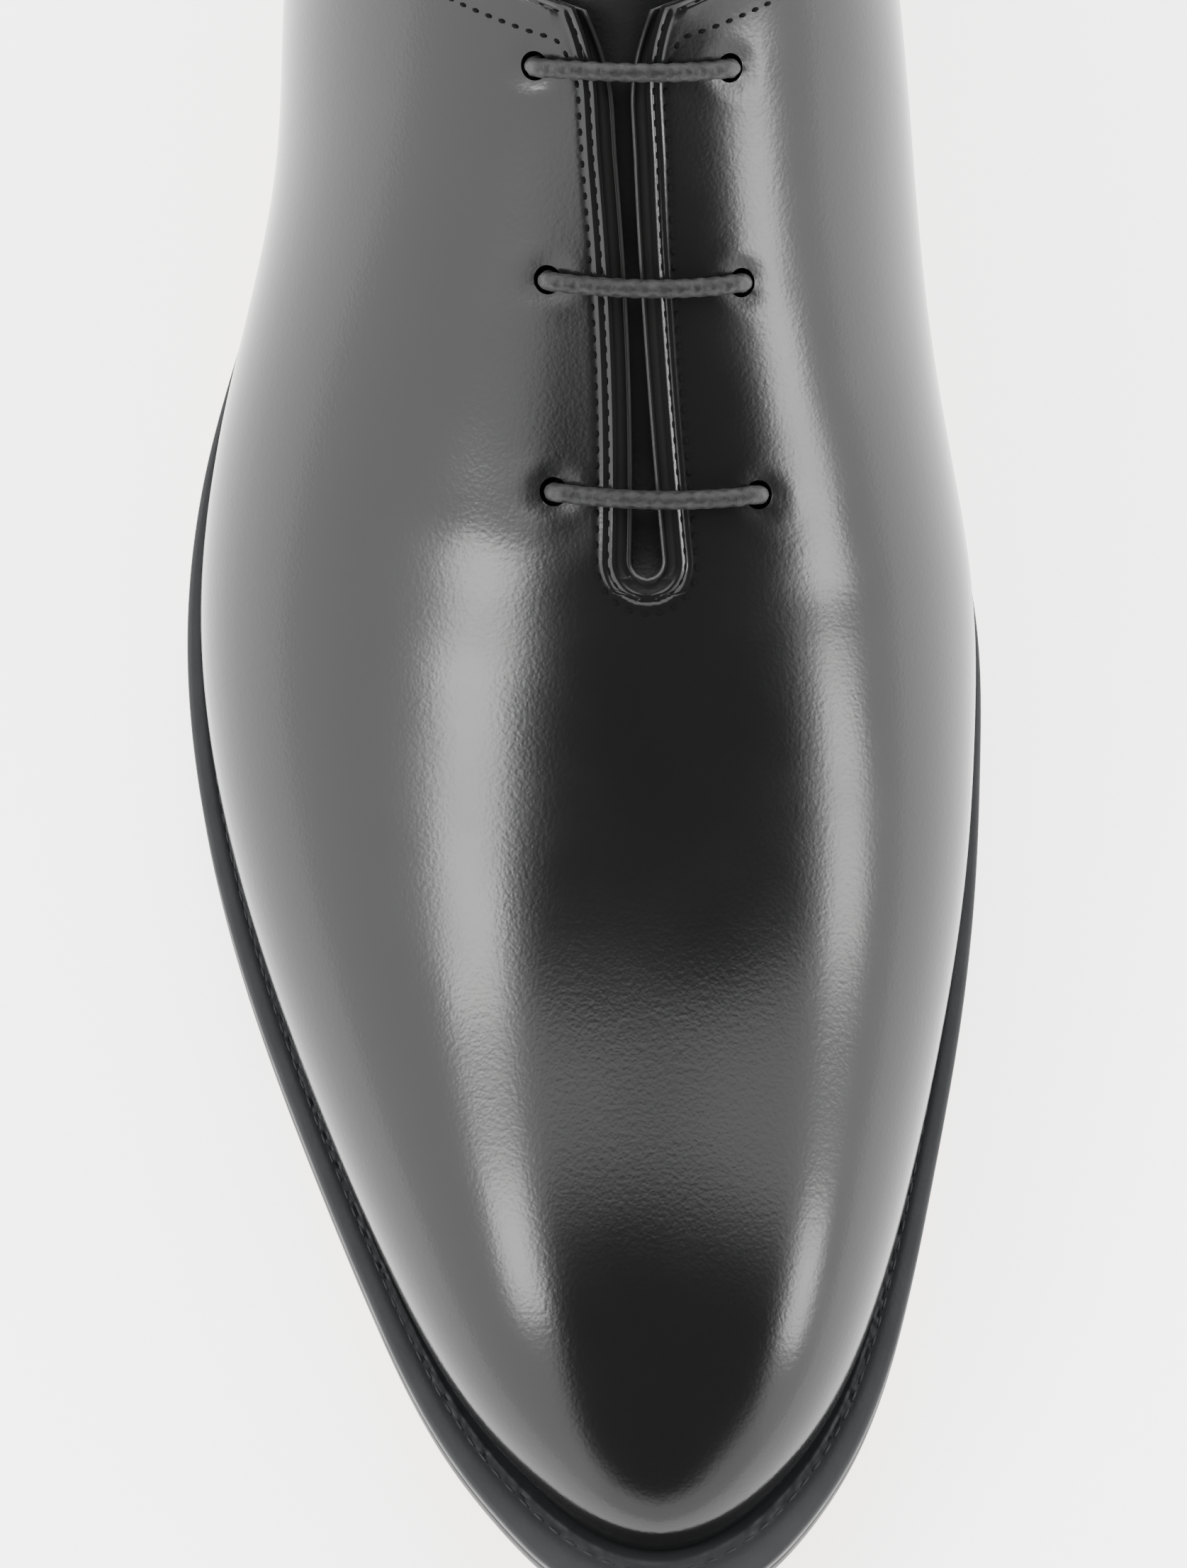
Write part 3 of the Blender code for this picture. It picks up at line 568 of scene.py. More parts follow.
def relief_of(shoe, points, side):
    """Height of the calf's relief over the last's surface at each point."""
    flat = points.reshape(-1, 3)
    height = edge_height(shoe, from_edge(shoe, flat), flat[:, 1], side)
    for per_metre, rise in WAVES:
        height += rise * np.array([noise.noise(Vector(point * per_metre)) for point in flat])
    for facing, places in shoe.eyelets().items():
        for s, distance in places:
            centre, normal = shoe.skin(s, facing, distance)
            offset = (flat - centre) / MM
            far = np.linalg.norm(offset, axis=1)
            near = far < EYELET_REACH
            across = np.cross(normal, [0.0, -1.0, 0.0])
            along = np.cross(across, normal)
            angle = np.arctan2(offset[near] @ along, offset[near] @ across)
            for place, width, rise in (EYELET_DIP, EYELET_RING):
                height[near] += rise * bell(far[near], place, width)
            place, width, rise = EYELET_FOLDS
            height[near] += rise * np.cos(3.0 * angle + 0.6) * bell(far[near], place, width)
    for at, aside, turn, half, width, rise in CREASES:
        half_of = LATERAL if aside < 0.0 else MEDIAL
        centre, normal = shoe.skin(shoe.s_at_ridge(-at * shoe.last.length), half_of, abs(aside) * MM)
        ahead = np.array([0.0, -1.0, 0.0])
        ahead -= normal * (ahead @ normal)
        ahead /= np.linalg.norm(ahead)
        across = np.cross(normal, ahead)
        tilt = math.radians(turn)
        way = across * math.cos(tilt) + ahead * math.sin(tilt)
        cross = np.cross(normal, way)
        offset = (flat - centre) / MM
        run, gap = (offset @ way) / half, (offset @ cross) / width
        height += rise * np.exp(-gap**2) * np.clip(1.0 - run**2, 0.0, None) ** 2
    seam = np.abs(flat[:, 0]) / MM
    behind = flat[:, 1] > SEAM_BEHIND * shoe.last.length
    for place, width, rise in SEAM_RELIEF:
        height += np.where(behind, rise * bell(seam, place, width), 0.0)
    return height.reshape(points.shape[:2]) * MM


def upper_half(shoe, side, stations, out=0.0, raised=0.0, fine=0.0036, near=31, far=35):
    """Points from the cut edge down to the feather line, close together near the edge."""
    rows = []
    for s in stations:
        t, from_ridge, _ = shoe.girth(s, side)
        start = shoe.edge_distance(s, side, out, raised)
        total = max(from_ridge[0] - start, 1e-9)
        first = min(fine, total * 0.35)
        away = np.r_[np.linspace(0.0, first, near, endpoint=False),
                     first + (total - first) * np.linspace(0.0, 1.0, far) ** 1.35]
        rows.append(shoe.rib_points(s, side, np.interp(start + away, from_ridge[::-1], t[::-1])))
    return np.array(rows)


def both_halves(shoe, stations, *spacing):
    """Side, points and normals of the two halves. Where they meet on the ridge, both take the
    same normal, so that they still meet once they are moved along it."""
    halves = {side: upper_half(shoe, side, stations, *spacing) for side in (LATERAL, MEDIAL)}
    normals = {side: grid_normals(points, side) for side, points in halves.items()}
    apart = np.linalg.norm(halves[LATERAL][:, 0] - halves[MEDIAL][:, 0], axis=1)
    met = apart < 1e-7
    shared = normals[LATERAL][met, 0] + normals[MEDIAL][met, 0]
    shared /= np.maximum(np.linalg.norm(shared, axis=1), 1e-9)[:, None]
    for side in halves:
        normals[side][met, 0] = shared
    return [(side, halves[side], normals[side]) for side in halves]


def eyelet_cutter(shoe, depth=0.012):
    bm = bmesh.new()
    for side, places in shoe.eyelets().items():
        for s, distance in places:
            point, normal = shoe.skin(s, side, distance)
            turn = Vector(normal).to_track_quat("Z", "Y").to_matrix().to_4x4()
            bmesh.ops.create_cone(bm, cap_ends=True, segments=40, radius1=shoe.lacing.hole / 2.0,
                                  radius2=shoe.lacing.hole / 2.0, depth=depth,
                                  matrix=Matrix.Translation(Vector(point)) @ turn)
    bmesh.ops.translate(bm, verts=bm.verts, vec=Vector(shoe.shift))
    mesh = bpy.data.meshes.new("eyelet_cutter")
    bm.to_mesh(mesh)
    bm.free()
    cutter = bpy.data.objects.new("eyelet_cutter", mesh)
    bpy.context.scene.collection.objects.link(cutter)
    return cutter


def walled(piece, wall, cutter, rim):
    """Gives a skin its wall inwards, rounds its cut edge and punches the eyelets."""
    solidify = piece.modifiers.new("wall", "SOLIDIFY")
    solidify.thickness = wall
    solidify.offset = -1.0
    solidify.use_quality_normals = True
    bevel = piece.modifiers.new("rim", "BEVEL")
    bevel.width = rim
    bevel.segments = 3
    bevel.limit_method = "ANGLE"
    bevel.angle_limit = math.radians(55.0)
    holes = piece.modifiers.new("eyelets", "BOOLEAN")
    holes.object = cutter
    holes.operation = "DIFFERENCE"
    holes.solver = "EXACT"
    bake(piece)


def outward(bm, shoe):
    """Turns a skin's faces so that they look away from the foot."""
    point, normal = shoe.skin(shoe.s_at_ridge(shoe.throat_end() * 1.1), LATERAL,
                              shoe.last.instep / 4.0)
    nearest = min(bm.faces, key=lambda face: (face.calc_center_median() - Vector(point)).length)
    if nearest.normal.dot(Vector(normal)) < 0.0:
        bmesh.ops.reverse_faces(bm, faces=bm.faces)


def make_calf(shoe, finish, cutter):
    end = shoe.throat_end()
    stations = spread(shoe, 0.0020, ((end - 0.006, end + 0.006, 0.00032),
                                     (end, end + 0.080, 0.00070)))
    bm = bmesh.new()
    for side, points, normals in both_halves(shoe, stations):
        grid_into(bm, points + normals * relief_of(shoe, points, side)[..., None])
    weld(bm)
    outward(bm, shoe)
    calf = add_piece("upper_calf", bm, finish, shoe, ("upper",))
    walled(calf, shoe.upper.calf, cutter, 0.00040)
    return calf


def make_lining(shoe, finish, cutter):
    """Lining under the calf. In the throat its edge stands out past the calf's."""
    end, out = shoe.throat_end(), -shoe.upper.lip
    raised = out - 0.0006
    tip = end - out
    stations = spread(shoe, 0.0030, ((tip - 0.0004, tip + 0.0014, 0.00012),
                                     (end - 0.004, end + 0.006, 0.0005),
                                     (end, end + 0.085, 0.0012)))
    bm = bmesh.new()
    for side, points, normals in both_halves(shoe, stations, out, raised, 0.0018, 16, 24):
        away = from_edge(shoe, points.reshape(-1, 3), out, raised).reshape(points.shape[:2])
        height = sum(rise * bell(away, place, width) for place, width, rise in LINING_RELIEF) * MM
        height -= shoe.upper.calf + 0.00012
        grid_into(bm, points + normals * height[..., None])
    weld(bm)
    outward(bm, shoe)
    lining = add_piece("upper_lining", bm, finish, shoe)
    walled(lining, shoe.upper.lining, cutter, 0.00022)
    return lining


def add_stitch(bm, start, end, normal, thread):
    """One stitch: a flat bead between two holes, half sunk in the leather."""
    along = Vector(end - start)
    way = along.normalized()
    up = Vector(normal)
    up = (up - way * up.dot(way)).normalized()
    across = way.cross(up)
    turn = Matrix((way, across, up)).transposed().to_4x4()
    shape = Matrix.Diagonal((along.length / 2.0, thread / 2.0, thread / 3.0, 1.0))
    centre = Vector((start + end) / 2.0) + up * thread * 0.08
    bmesh.ops.create_uvsphere(bm, u_segments=6, v_segments=5, radius=1.0,
                              matrix=Matrix.Translation(centre) @ turn @ shape)


def row_of_stitches(bm, line, normals, stitch, pitch, thread):
    """Stitches at an even pitch along a line."""
    reach = np.r_[0.0, np.cumsum(np.linalg.norm(np.diff(line, axis=0), axis=1))]
    starts = np.arange(pitch / 2.0, reach[-1] - stitch, pitch)
    for start in starts:
        ends = [np.array([np.interp(at, reach, line[:, k]) for k in range(3)])
                for at in (start, start + stitch)]
        normal = np.array([np.interp(start, reach, normals[:, k]) for k in range(3)])
        add_stitch(bm, ends[0], ends[1], normal, thread)


def offset_row(shoe, out, parting):
    """A line round the whole cut edge at a distance from it, with the surface's normals. Above
    the lacing it parts from the edge."""
    halves = []
    for side in (LATERAL, MEDIAL):
        points, normals = [], []
        last = shoe.s_at_ridge(shoe.throat_end() - out) - 2e-5
        turn = shoe.s_at_ridge(shoe.throat_end() + 0.006)
        for s in np.r_[np.linspace(0.002, turn, 260, endpoint=False), np.linspace(turn, last, 90)]:
            y = -shoe.rib(s)["ridge"] * shoe.last.length
            away = out + parting * float(parted(shoe, y))
            distance = shoe.edge_distance(s, side, away)
            if distance > 0.0:
                rise = edge_height(shoe, np.array([away / MM]), y, side)[0] * MM
                point, normal = shoe.skin(s, side, distance, -rise)
                points.append(point)
                normals.append(normal)
        halves.append((np.array(points), np.array(normals)))
    (points_l, normals_l), (points_m, normals_m) = halves
    return np.concatenate([points_l, points_m[::-1]]), np.concatenate([normals_l, normals_m[::-1]])


def make_edge_stitches(shoe, finish):
    bm = bmesh.new()
    upper = shoe.upper
    for row, parting, thread in ((INNER_ROW, 0.0, upper.thread * 0.6),
                                 (OUTER_ROW, upper.parting, upper.thread)):
        line, normals = offset_row(shoe, EDGE_RELIEF[row][0] * MM, parting)
        row_of_stitches(bm, line, normals, upper.stitch, upper.stitch_pitch, thread)
    return add_piece("upper_stitches", bm, finish, shoe, sharp=80.0)


# Bottom

def ring(shoe, stations, section, foot):
    """Points of a closed band round the sole: rows round it, columns over its section."""
    rows = []
    for k, (s, side) in enumerate(stations):
        row = []
        for out, over in section(s, side, k):
            x, y = shoe.outline(s, side, out)
            row.append((x, y, foot(y) + over))
        rows.append(row)
    return np.array(rows + rows[:1])


def make_welt(shoe, finish):
    """The welt, with rough marks of the fudge wheel beside the upper, strongest by the toe."""
    bottom = shoe.bottom
    stations = shoe.perimeter(2400)

    def section(s, side, k):
        edge = shoe.ledge(s)
        place = Vector((*shoe.outline(s, side, 0.0), 0.0))
        toe = float(eased(shoe.rib(s)["along"], 0.55, 0.85))
        rough = 1.0 + 1.3 * noise.noise(place * 700.0) + 0.7 * noise.noise(place * 1500.0)
        dent = (0.00006 + 0.00022 * toe) * rough
        top, rim = bottom.welt, WELT_RIM
        return ((-WALL, 0.0), (edge - 0.0002, 0.0), (edge, 0.0002), (edge, top - rim),
                (edge - rim * 0.3, top - rim * 0.3), (edge - rim, top - 0.00006),
                (edge * 0.60, top), (edge * 0.44, top - 0.00003), (edge * 0.38, top - 0.00020),
                (edge * 0.33, top - dent * 0.4), (edge * 0.27, top - dent),
                (edge * 0.21, top - dent * 0.5), (edge * 0.15, top - 0.00020),
                (edge * 0.09, top - 0.00055), (-WALL, top - 0.00055), (-WALL, 0.0))

    bm = bmesh.new()
    grid_into(bm, ring(shoe, stations, section, shoe.welt_foot))
    weld(bm)
    return add_piece("welt_band", bm, finish, shoe, ("welt",), sharp=60.0)


def make_welt_stitches(shoe, finish):
    bm = bmesh.new()
    stations = shoe.perimeter(1600)
    line = []
    for s, side in stations:
        x, y = shoe.outline(s, side, shoe.ledge(s) * 0.38)
        line.append((x, y, shoe.welt_foot(y) + shoe.bottom.welt - 0.00024))
    line = np.array(line)
    up = np.tile([0.0, 0.0, 1.0], (len(line), 1))
    row_of_stitches(bm, line, up, 0.0022, 0.0028, 0.00050)
    return add_piece("welt_stitches", bm, finish, shoe, sharp=80.0)


def make_plate(shoe, name, finish, replaced, profile, foot, rows=330, columns=28):
    """A plate under the whole foot. Profile gives the edge's (out, over) points from below round to
    above, and the heights of the inner points below and above, which are spread between the edge and
    the centre line."""
    bm = bmesh.new()
    for side in (LATERAL, MEDIAL):
        points = []
        for s in np.linspace(0.0, 1.0, rows):
            edges, (low_over, high_over) = profile(s)
            plan = [shoe.outline(s, side, out) for out, _ in edges]
            other = [shoe.outline(s, -side, out) for out, _ in edges]
            row = []
            for share_in in np.linspace(1.0, 0.0, columns, endpoint=False):
                x, y = plan[0] + (other[0] - plan[0]) * share_in / 2.0
                row.append((x, y, foot(y) + low_over(share_in, y)))
            row += [(p[0], p[1], foot(p[1]) + over) for p, (_, over) in zip(plan, edges)]
            for share_in in np.linspace(0.0, 1.0, columns + 1)[1:]:
                x, y = plan[-1] + (other[-1] - plan[-1]) * share_in / 2.0
                row.append((x, y, foot(y) + high_over(share_in, y)))
            points.append(row)
        grid_into(bm, np.array(points))
    weld(bm)
    return add_piece(name, bm, finish, shoe, replaced, sharp=55.0)


def make_outsole(shoe, finish, edge_finish):
    bottom = shoe.bottom
    rim = 0.0010

    def profile(s):
        edge = shoe.ledge(s)
        rounds = [(edge - rim * (1.0 - math.sin(a)), rim * (1.0 - math.cos(a)))
                  for a in np.linspace(0.0, math.pi / 2.0, 5)]
        groove = ((edge, bottom.outsole * 0.5), (edge, bottom.outsole - 0.0003),
                  (edge - 0.0003, bottom.outsole))
        channel = 0.0052

        def low(share_in, y):
            half = max(shoe.rib(s)["lateral"], 0.02) * shoe.last.ball_width
            inset = share_in * half
            return 0.00025 * math.exp(-(((inset - channel) / 0.0007) ** 2))

        return list(rounds) + list(groove), (low, lambda share_in, y: bottom.outsole)

    sole = make_plate(shoe, "outsole_leather", finish, ("outsole",), profile,
                      shoe.tread)
    # The edge and the top, every face that does not look down, are dyed black with the heel.
    sole.data.materials.append(edge_finish)
    for face in sole.data.polygons:
        if face.normal.z > -0.8:
            face.material_index = 1
    return sole


def make_sock(shoe, finish):
    bottom = shoe.bottom
    inset = WALL + bottom.gap
    top = bottom.welt + bottom.insole
    edges = [(-inset, 0.0), (-inset, top * 0.57), (-inset - 0.0012, top)]

    def flat(share_in, y):
        return 0.0

    def dished(share_in, y):
        return top - 0.0004 * math.sin(share_in * math.pi / 2.0)

    def profile(s):
        return edges, (flat, dished)

    return make_plate(shoe, "insole_sock", finish, ("insole",), profile,
                      shoe.welt_foot, rows=200, columns=16)


def heel_plan(shoe, drawn_in, count=44, front=26):
    bottom = shoe.bottom
    last = shoe.s_at_foot(bottom.breast)
    stations = [last * k / count for k in range(count + 1)]
    sides = {side: [shoe.outline(s, side, shoe.ledge(s) - drawn_in) for s in stations]
             for side in (LATERAL, MEDIAL)}
    start, end = sides[MEDIAL][-1], sides[LATERAL][-1]
    breast = []
    for k in range(1, front):
        done = k / front
        point = start + (end - start) * done
        point[1] += bottom.hollow * 4.0 * done * (1.0 - done)
        breast.append(point)
    return np.array(sides[LATERAL][::-1] + sides[MEDIAL][1:] + breast)


def make_slab(shoe, name, low, high, finish, replaced, rim):
    """A slab of the heel: its plan extruded up, with its rims bevelled."""
    bm = bmesh.new()
    tall = shoe.heel_height()
    base = [bm.verts.new((x, y, low)) for x, y in
            heel_plan(shoe, shoe.bottom.taper * (1.0 - low / tall))]
    face = bm.faces.new(base)
    made = bmesh.ops.extrude_face_region(bm, geom=[face])["geom"]
    top = [item for item in made if isinstance(item, bmesh.types.BMVert)]
    plan = heel_plan(shoe, shoe.bottom.taper * (1.0 - high / tall))
    order = {tuple(round(c, 7) for c in vert.co.xy): vert for vert in top}
    for vert, (x, y) in zip(base, plan):
        order[tuple(round(c, 7) for c in vert.co.xy)].co = (x, y, high)
    bmesh.ops.recalc_face_normals(bm, faces=bm.faces)
    rims = [edge for edge in bm.edges if edge.calc_face_angle(0.0) > math.radians(60.0)]
    bmesh.ops.bevel(bm, geom=rims, offset=rim, segments=3, profile=0.5, affect="EDGES",
                    material=-1)
    return add_piece(name, bm, finish, shoe, replaced, sharp=45.0)


def make_heel(shoe, leather, rubber):
    bottom = shoe.bottom
    made = [make_slab(shoe, "heel_tread", 0.0, bottom.top_piece, rubber,
                      ("top_piece",), 0.0005)]
    for k in range(bottom.lifts):
        low = bottom.top_piece + bottom.gap + k * (bottom.lift + bottom.gap)
        made.append(make_slab(shoe, "heel_layer_%d" % (k + 1), low, low + bottom.lift, leather,
                              ("heel_lift_%d" % (k + 1),), 0.00025))
    return made


# Tongue and lace

def lace_depth(shoe):
    return WALL + shoe.bottom.gap + shoe.lacing.cord / 2.0


def tongue_depth(shoe, y):
    lacing = shoe.lacing
    start = shoe.throat_end() - lacing.tongue_ahead * TONGUE_SINK
    sunk = float(eased(y, start, start + lacing.tongue_ahead))
    return WALL + shoe.bottom.gap + sunk * (lacing.cord + shoe.bottom.gap)


def make_tongue(shoe, finish, rows=120, across=64):
    """The tongue, bent like the instep, with a round top end."""
    lacing = shoe.lacing
    start = shoe.throat_end() - lacing.tongue_ahead
    grid = []
    for k in range(rows + 1):
        y = start + lacing.tongue_length * k / rows
        s = shoe.s_at_ridge(y)
        to_top = min((1.0 - k / rows) * lacing.tongue_length / (lacing.tongue_width / 4.0), 1.0)
        round_top = math.sqrt(max(1.0 - (1.0 - to_top) ** 2, 0.0))
        half = lacing.tongue_width / 2.0 * (TONGUE_TIP + (1.0 - TONGUE_TIP) * round_top)
        row = []
        for m in range(across + 1):
            place = half * (2.0 * m / across - 1.0)
            side = LATERAL if place < 0.0 else MEDIAL
            row.append(shoe.skin(s, side, abs(place), tongue_depth(shoe, y))[0])
        grid.append(row)
    bm = bmesh.new()
    grid_into(bm, np.array(grid))
    if bm.faces[:][len(bm.faces) // 2].normal.z < 0.0:
        bmesh.ops.reverse_faces(bm, faces=bm.faces)
    tongue = add_piece("tongue_leather", bm, finish, shoe, ("tongue",))
    solidify = tongue.modifiers.new("wall", "SOLIDIFY")
    solidify.thickness = lacing.tongue
    solidify.offset = -1.0
    solidify.use_even_offset = True
    bevel = tongue.modifiers.new("rim", "BEVEL")
    bevel.width = 0.0005
    bevel.segments = 3
    bevel.limit_method = "ANGLE"
    bevel.angle_limit = math.radians(50.0)
    bake(tongue)
    return tongue


def unit(vector):
    return vector / np.linalg.norm(vector)


def square_to(vector, normal):
    return unit(vector - normal * np.dot(vector, normal))


def bend(corner, start_way, end_way, radius, steps=8):
    centre = corner - start_way * radius + end_way * radius
    return [centre + start_way * radius * math.sin(a) - end_way * radius * math.cos(a)
            for a in np.linspace(0.0, math.pi / 2.0, steps + 1)]


def lace_at_eyelet(shoe, side, row):
    s, distance = shoe.eyelets()[side][row]
    point, normal = shoe.skin(s, side, distance)
    proud = shoe.bottom.gap + shoe.lacing.cord / 2.0
    return point + normal * proud, point - normal * lace_depth(shoe), normal


def surface_path(shoe, start, end, depth, bow, count, sag=0.0):
    """Points between two places over the last, bowed outwards or sagging towards the toe."""
    points = []
    for k in range(1, count):
        done = k / count
        s = start[0] + (end[0] - start[0]) * done + sag / shoe.last.length * math.sin(math.pi * done)
        place = start[1] + (end[1] - start[1]) * done
        side = LATERAL if place < 0.0 else MEDIAL
        place += side * bow * math.sin(math.pi * done)
        points.append(shoe.skin(s, side, abs(place), depth)[0])
    return points


def lace_route(shoe):
    top, bottom, middle = shoe.lacing.rows - 1, 0, min(1, shoe.lacing.rows - 1)
    radius = shoe.lacing.hole / 2.0
    proud = -(shoe.bottom.gap + shoe.lacing.cord / 2.0)
    places = {side: [(s, side * distance) for s, distance in rows]
              for side, rows in shoe.eyelets().items()}
    toe = np.array([0.0, -1.0, 0.0])
    ways = {(top, LATERAL): toe, (top, MEDIAL): toe, (bottom, LATERAL): -toe,
            (bottom, MEDIAL): -toe, (middle, LATERAL): toe, (middle, MEDIAL): -toe}

    def cross(row, from_side, to_side):
        out_a, in_a, normal_a = lace_at_eyelet(shoe, from_side, row)
        out_b, in_b, normal_b = lace_at_eyelet(shoe, to_side, row)
        over = surface_path(shoe, places[from_side][row], places[to_side][row], proud, 0.0, 24,
                            shoe.lacing.sag)
        over = [p for p in over if min(np.linalg.norm(p - out_a), np.linalg.norm(p - out_b))
                > radius * BEND_CLEAR]
        way_a = square_to(out_b - out_a, normal_a)
        way_b = square_to(out_b - out_a, normal_b)
        points = bend(in_a, -square_to(ways[row, from_side], normal_a), normal_a, radius)
        points += bend(out_a, normal_a, way_a, radius)
        points += over
        points += bend(out_b, way_b, -normal_b, radius)
        return points + bend(in_b, -normal_b, square_to(ways[row, to_side], normal_b), radius)

    deep = lace_depth(shoe)
    first = places[LATERAL][top]
    tail = first[0] + TAIL_START * (places[LATERAL][middle][0] - first[0])
    route = [shoe.skin(tail, LATERAL, abs(first[1]), deep)[0]]
    route += cross(top, LATERAL, MEDIAL)
    route += surface_path(shoe, places[MEDIAL][top], places[MEDIAL][bottom], deep,
                          shoe.lacing.cord * HIDDEN_BOW, 28)[2:-2]
    route += cross(bottom, MEDIAL, LATERAL)
    route += surface_path(shoe, places[LATERAL][bottom], places[LATERAL][middle], deep, 0.0, 14)[2:-2]
    if middle != top:
        route += cross(middle, LATERAL, MEDIAL)
        start, full = places[MEDIAL][middle], places[MEDIAL][top]
        end = (start[0] + TAIL_END * (full[0] - start[0]),
               full[1] - shoe.lacing.cord * END_INSET)
        route += surface_path(shoe, start, end, deep, 0.0, 14)[2:]
    return np.array(route)


def smooth_route(route, step):
    """The route as a smooth curve with evenly spaced points."""
    reach = np.r_[0.0, np.cumsum(np.linalg.norm(np.diff(route, axis=0), axis=1))]
    curve = natural_spline(reach, route)
    return np.array([curve(at) for at in np.arange(0.0, reach[-1], step)])


def make_lace(shoe, finish, around=18, step=0.00024):
    """A round waxed cord with the braid's low relief, swept along the route."""
    route = smooth_route(lace_route(shoe), step)
    ways = np.gradient(route, axis=0)
    ways /= np.linalg.norm(ways, axis=1)[:, None]
    side = unit(np.cross(ways[0], [0.1, 0.2, 1.0]))
    rows = []
    for k, (point, way) in enumerate(zip(route, ways)):
        side = unit(side - way * np.dot(side, way))
        other = np.cross(way, side)
        turns = np.linspace(0.0, 2.0 * math.pi, around + 1)
        turned = k * step / 0.00034
        braid = np.maximum(np.cos(4.0 * turns + turned), np.cos(4.0 * turns - turned))
        radius = shoe.lacing.cord / 2.0 * (0.935 + 0.065 * braid)
        rows.append(point + radius[:, None] * (np.cos(turns)[:, None] * side
                                               + np.sin(turns)[:, None] * other))
    ends = [np.repeat(route[k][None], around + 1, axis=0) for k in (0, -1)]
    bm = bmesh.new()
    grid_into(bm, np.array([ends[0]] + rows + [ends[1]]))
    weld(bm, 5e-6)
    return add_piece("lace_cord", bm, finish, shoe, ("lace",), sharp=70.0)


# Materials

def shader_of(name, colour, roughness, **sockets):
    made = bpy.data.materials.get(name) or bpy.data.materials.new(name)
    made.use_nodes = True
    shader = made.node_tree.nodes["Principled BSDF"]
    shader.inputs["Base Color"].default_value = (*colour, 1.0)
    shader.inputs["Roughness"].default_value = roughness
    for socket, value in sockets.items():
        shader.inputs[socket.replace("_", " ")].default_value = value
    return made, shader


def add_bump(made, shader, layers):
    """Bump from procedural layers: kind, scale per metre, depth in metres."""
    tree = made.node_tree
    place = tree.nodes.new("ShaderNodeTexCoord")
    before = None
    for kind, scale, depth in layers:
        if kind == "grain":
            texture = tree.nodes.new("ShaderNodeTexVoronoi")
            texture.feature = "SMOOTH_F1"
            result = texture.outputs["Distance"]
        else:
            texture = tree.nodes.new("ShaderNodeTexNoise")
            texture.inputs["Detail"].default_value = 4.0
            result = texture.outputs["Fac"]
        texture.inputs["Scale"].default_value = scale
        bump = tree.nodes.new("ShaderNodeBump")
        bump.inputs["Distance"].default_value = depth
        bump.inputs["Strength"].default_value = 1.0
        tree.links.new(place.outputs["Object"], texture.inputs["Vector"])
        tree.links.new(result, bump.inputs["Height"])
        if before is not None:
            tree.links.new(before.outputs["Normal"], bump.inputs["Normal"])
        before = bump
    tree.links.new(before.outputs["Normal"], shader.inputs["Normal"])


def vary(made, shader, socket, scale, low, high):
    """A soft noise between two values, into a colour or a number."""
    tree = made.node_tree
    place = tree.nodes.new("ShaderNodeTexCoord")
    clouds = tree.nodes.new("ShaderNodeTexNoise")
    clouds.inputs["Scale"].default_value = scale
    clouds.inputs["Detail"].default_value = 5.0
    ramp = tree.nodes.new("ShaderNodeMapRange")
    ramp.inputs["From Min"].default_value = 0.3
    ramp.inputs["From Max"].default_value = 0.7
    tree.links.new(place.outputs["Object"], clouds.inputs["Vector"])
    tree.links.new(clouds.outputs["Fac"], ramp.inputs["Value"])
    if isinstance(low, tuple):
        mix = tree.nodes.new("ShaderNodeMix")
        mix.data_type = "RGBA"
        mix.inputs[6].default_value = (*low, 1.0)
        mix.inputs[7].default_value = (*high, 1.0)
        tree.links.new(ramp.outputs["Result"], mix.inputs[0])
        tree.links.new(mix.outputs[2], shader.inputs[socket])
    else:
        ramp.inputs["To Min"].default_value = low
        ramp.inputs["To Max"].default_value = high
        tree.links.new(ramp.outputs["Result"], shader.inputs[socket])


def calf_finish():
    made, shader = shader_of("polished_calf", (0.0042, 0.0042, 0.0044), 0.17,
                             Specular_IOR_Level=0.3)
    vary(made, shader, "Roughness", 70.0, 0.15, 0.20)
    add_bump(made, shader, (("noise", 1300.0, 0.000013), ("grain", 2100.0, 0.000008)))
    return made


def tongue_finish():
    made, shader = shader_of("soft_calf", (0.0045, 0.0045, 0.0047), 0.45, Specular_IOR_Level=0.3)
    vary(made, shader, "Roughness", 120.0, 0.38, 0.50)
    add_bump(made, shader, (("grain", 2200.0, 0.000030), ("noise", 600.0, 0.000040)))
    return made


def lining_finish():
    made, shader = shader_of("lining_leather", (0.006, 0.0059, 0.0058), 0.30,
                             Specular_IOR_Level=0.4)
    add_bump(made, shader, (("grain", 1800.0, 0.000012), ("noise", 500.0, 0.000020)))
    return made


def edge_finish():
    made, shader = shader_of("waxed_edge", (0.0150, 0.0156, 0.0168), 0.50,
                             Specular_IOR_Level=0.16)
    vary(made, shader, "Roughness", 160.0, 0.46, 0.60)
    add_bump(made, shader, (("noise", 1500.0, 0.000040), ("noise", 240.0, 0.000050)))
    return made


def sole_finish():
    made, shader = shader_of("oak_sole", (0.42, 0.25, 0.13), 0.48)
    vary(made, shader, "Base Color", 45.0, (0.36, 0.205, 0.100), (0.47, 0.29, 0.155))
    add_bump(made, shader, (("noise", 1200.0, 0.000050), ("noise", 160.0, 0.000060)))
    return made


def rubber_finish():
    made, shader = shader_of("tread_rubber", (0.016, 0.016, 0.016), 0.72)
    add_bump(made, shader, (("noise", 2400.0, 0.000040), ("noise", 300.0, 0.000040)))
    return made


def thread_finish():
    made, shader = shader_of("sewing_thread", (0.0025, 0.0025, 0.0025), 0.8,
                             Specular_IOR_Level=0.06)
    add_bump(made, shader, (("noise", 5000.0, 0.000030), ("noise", 1500.0, 0.000020)))
    return made


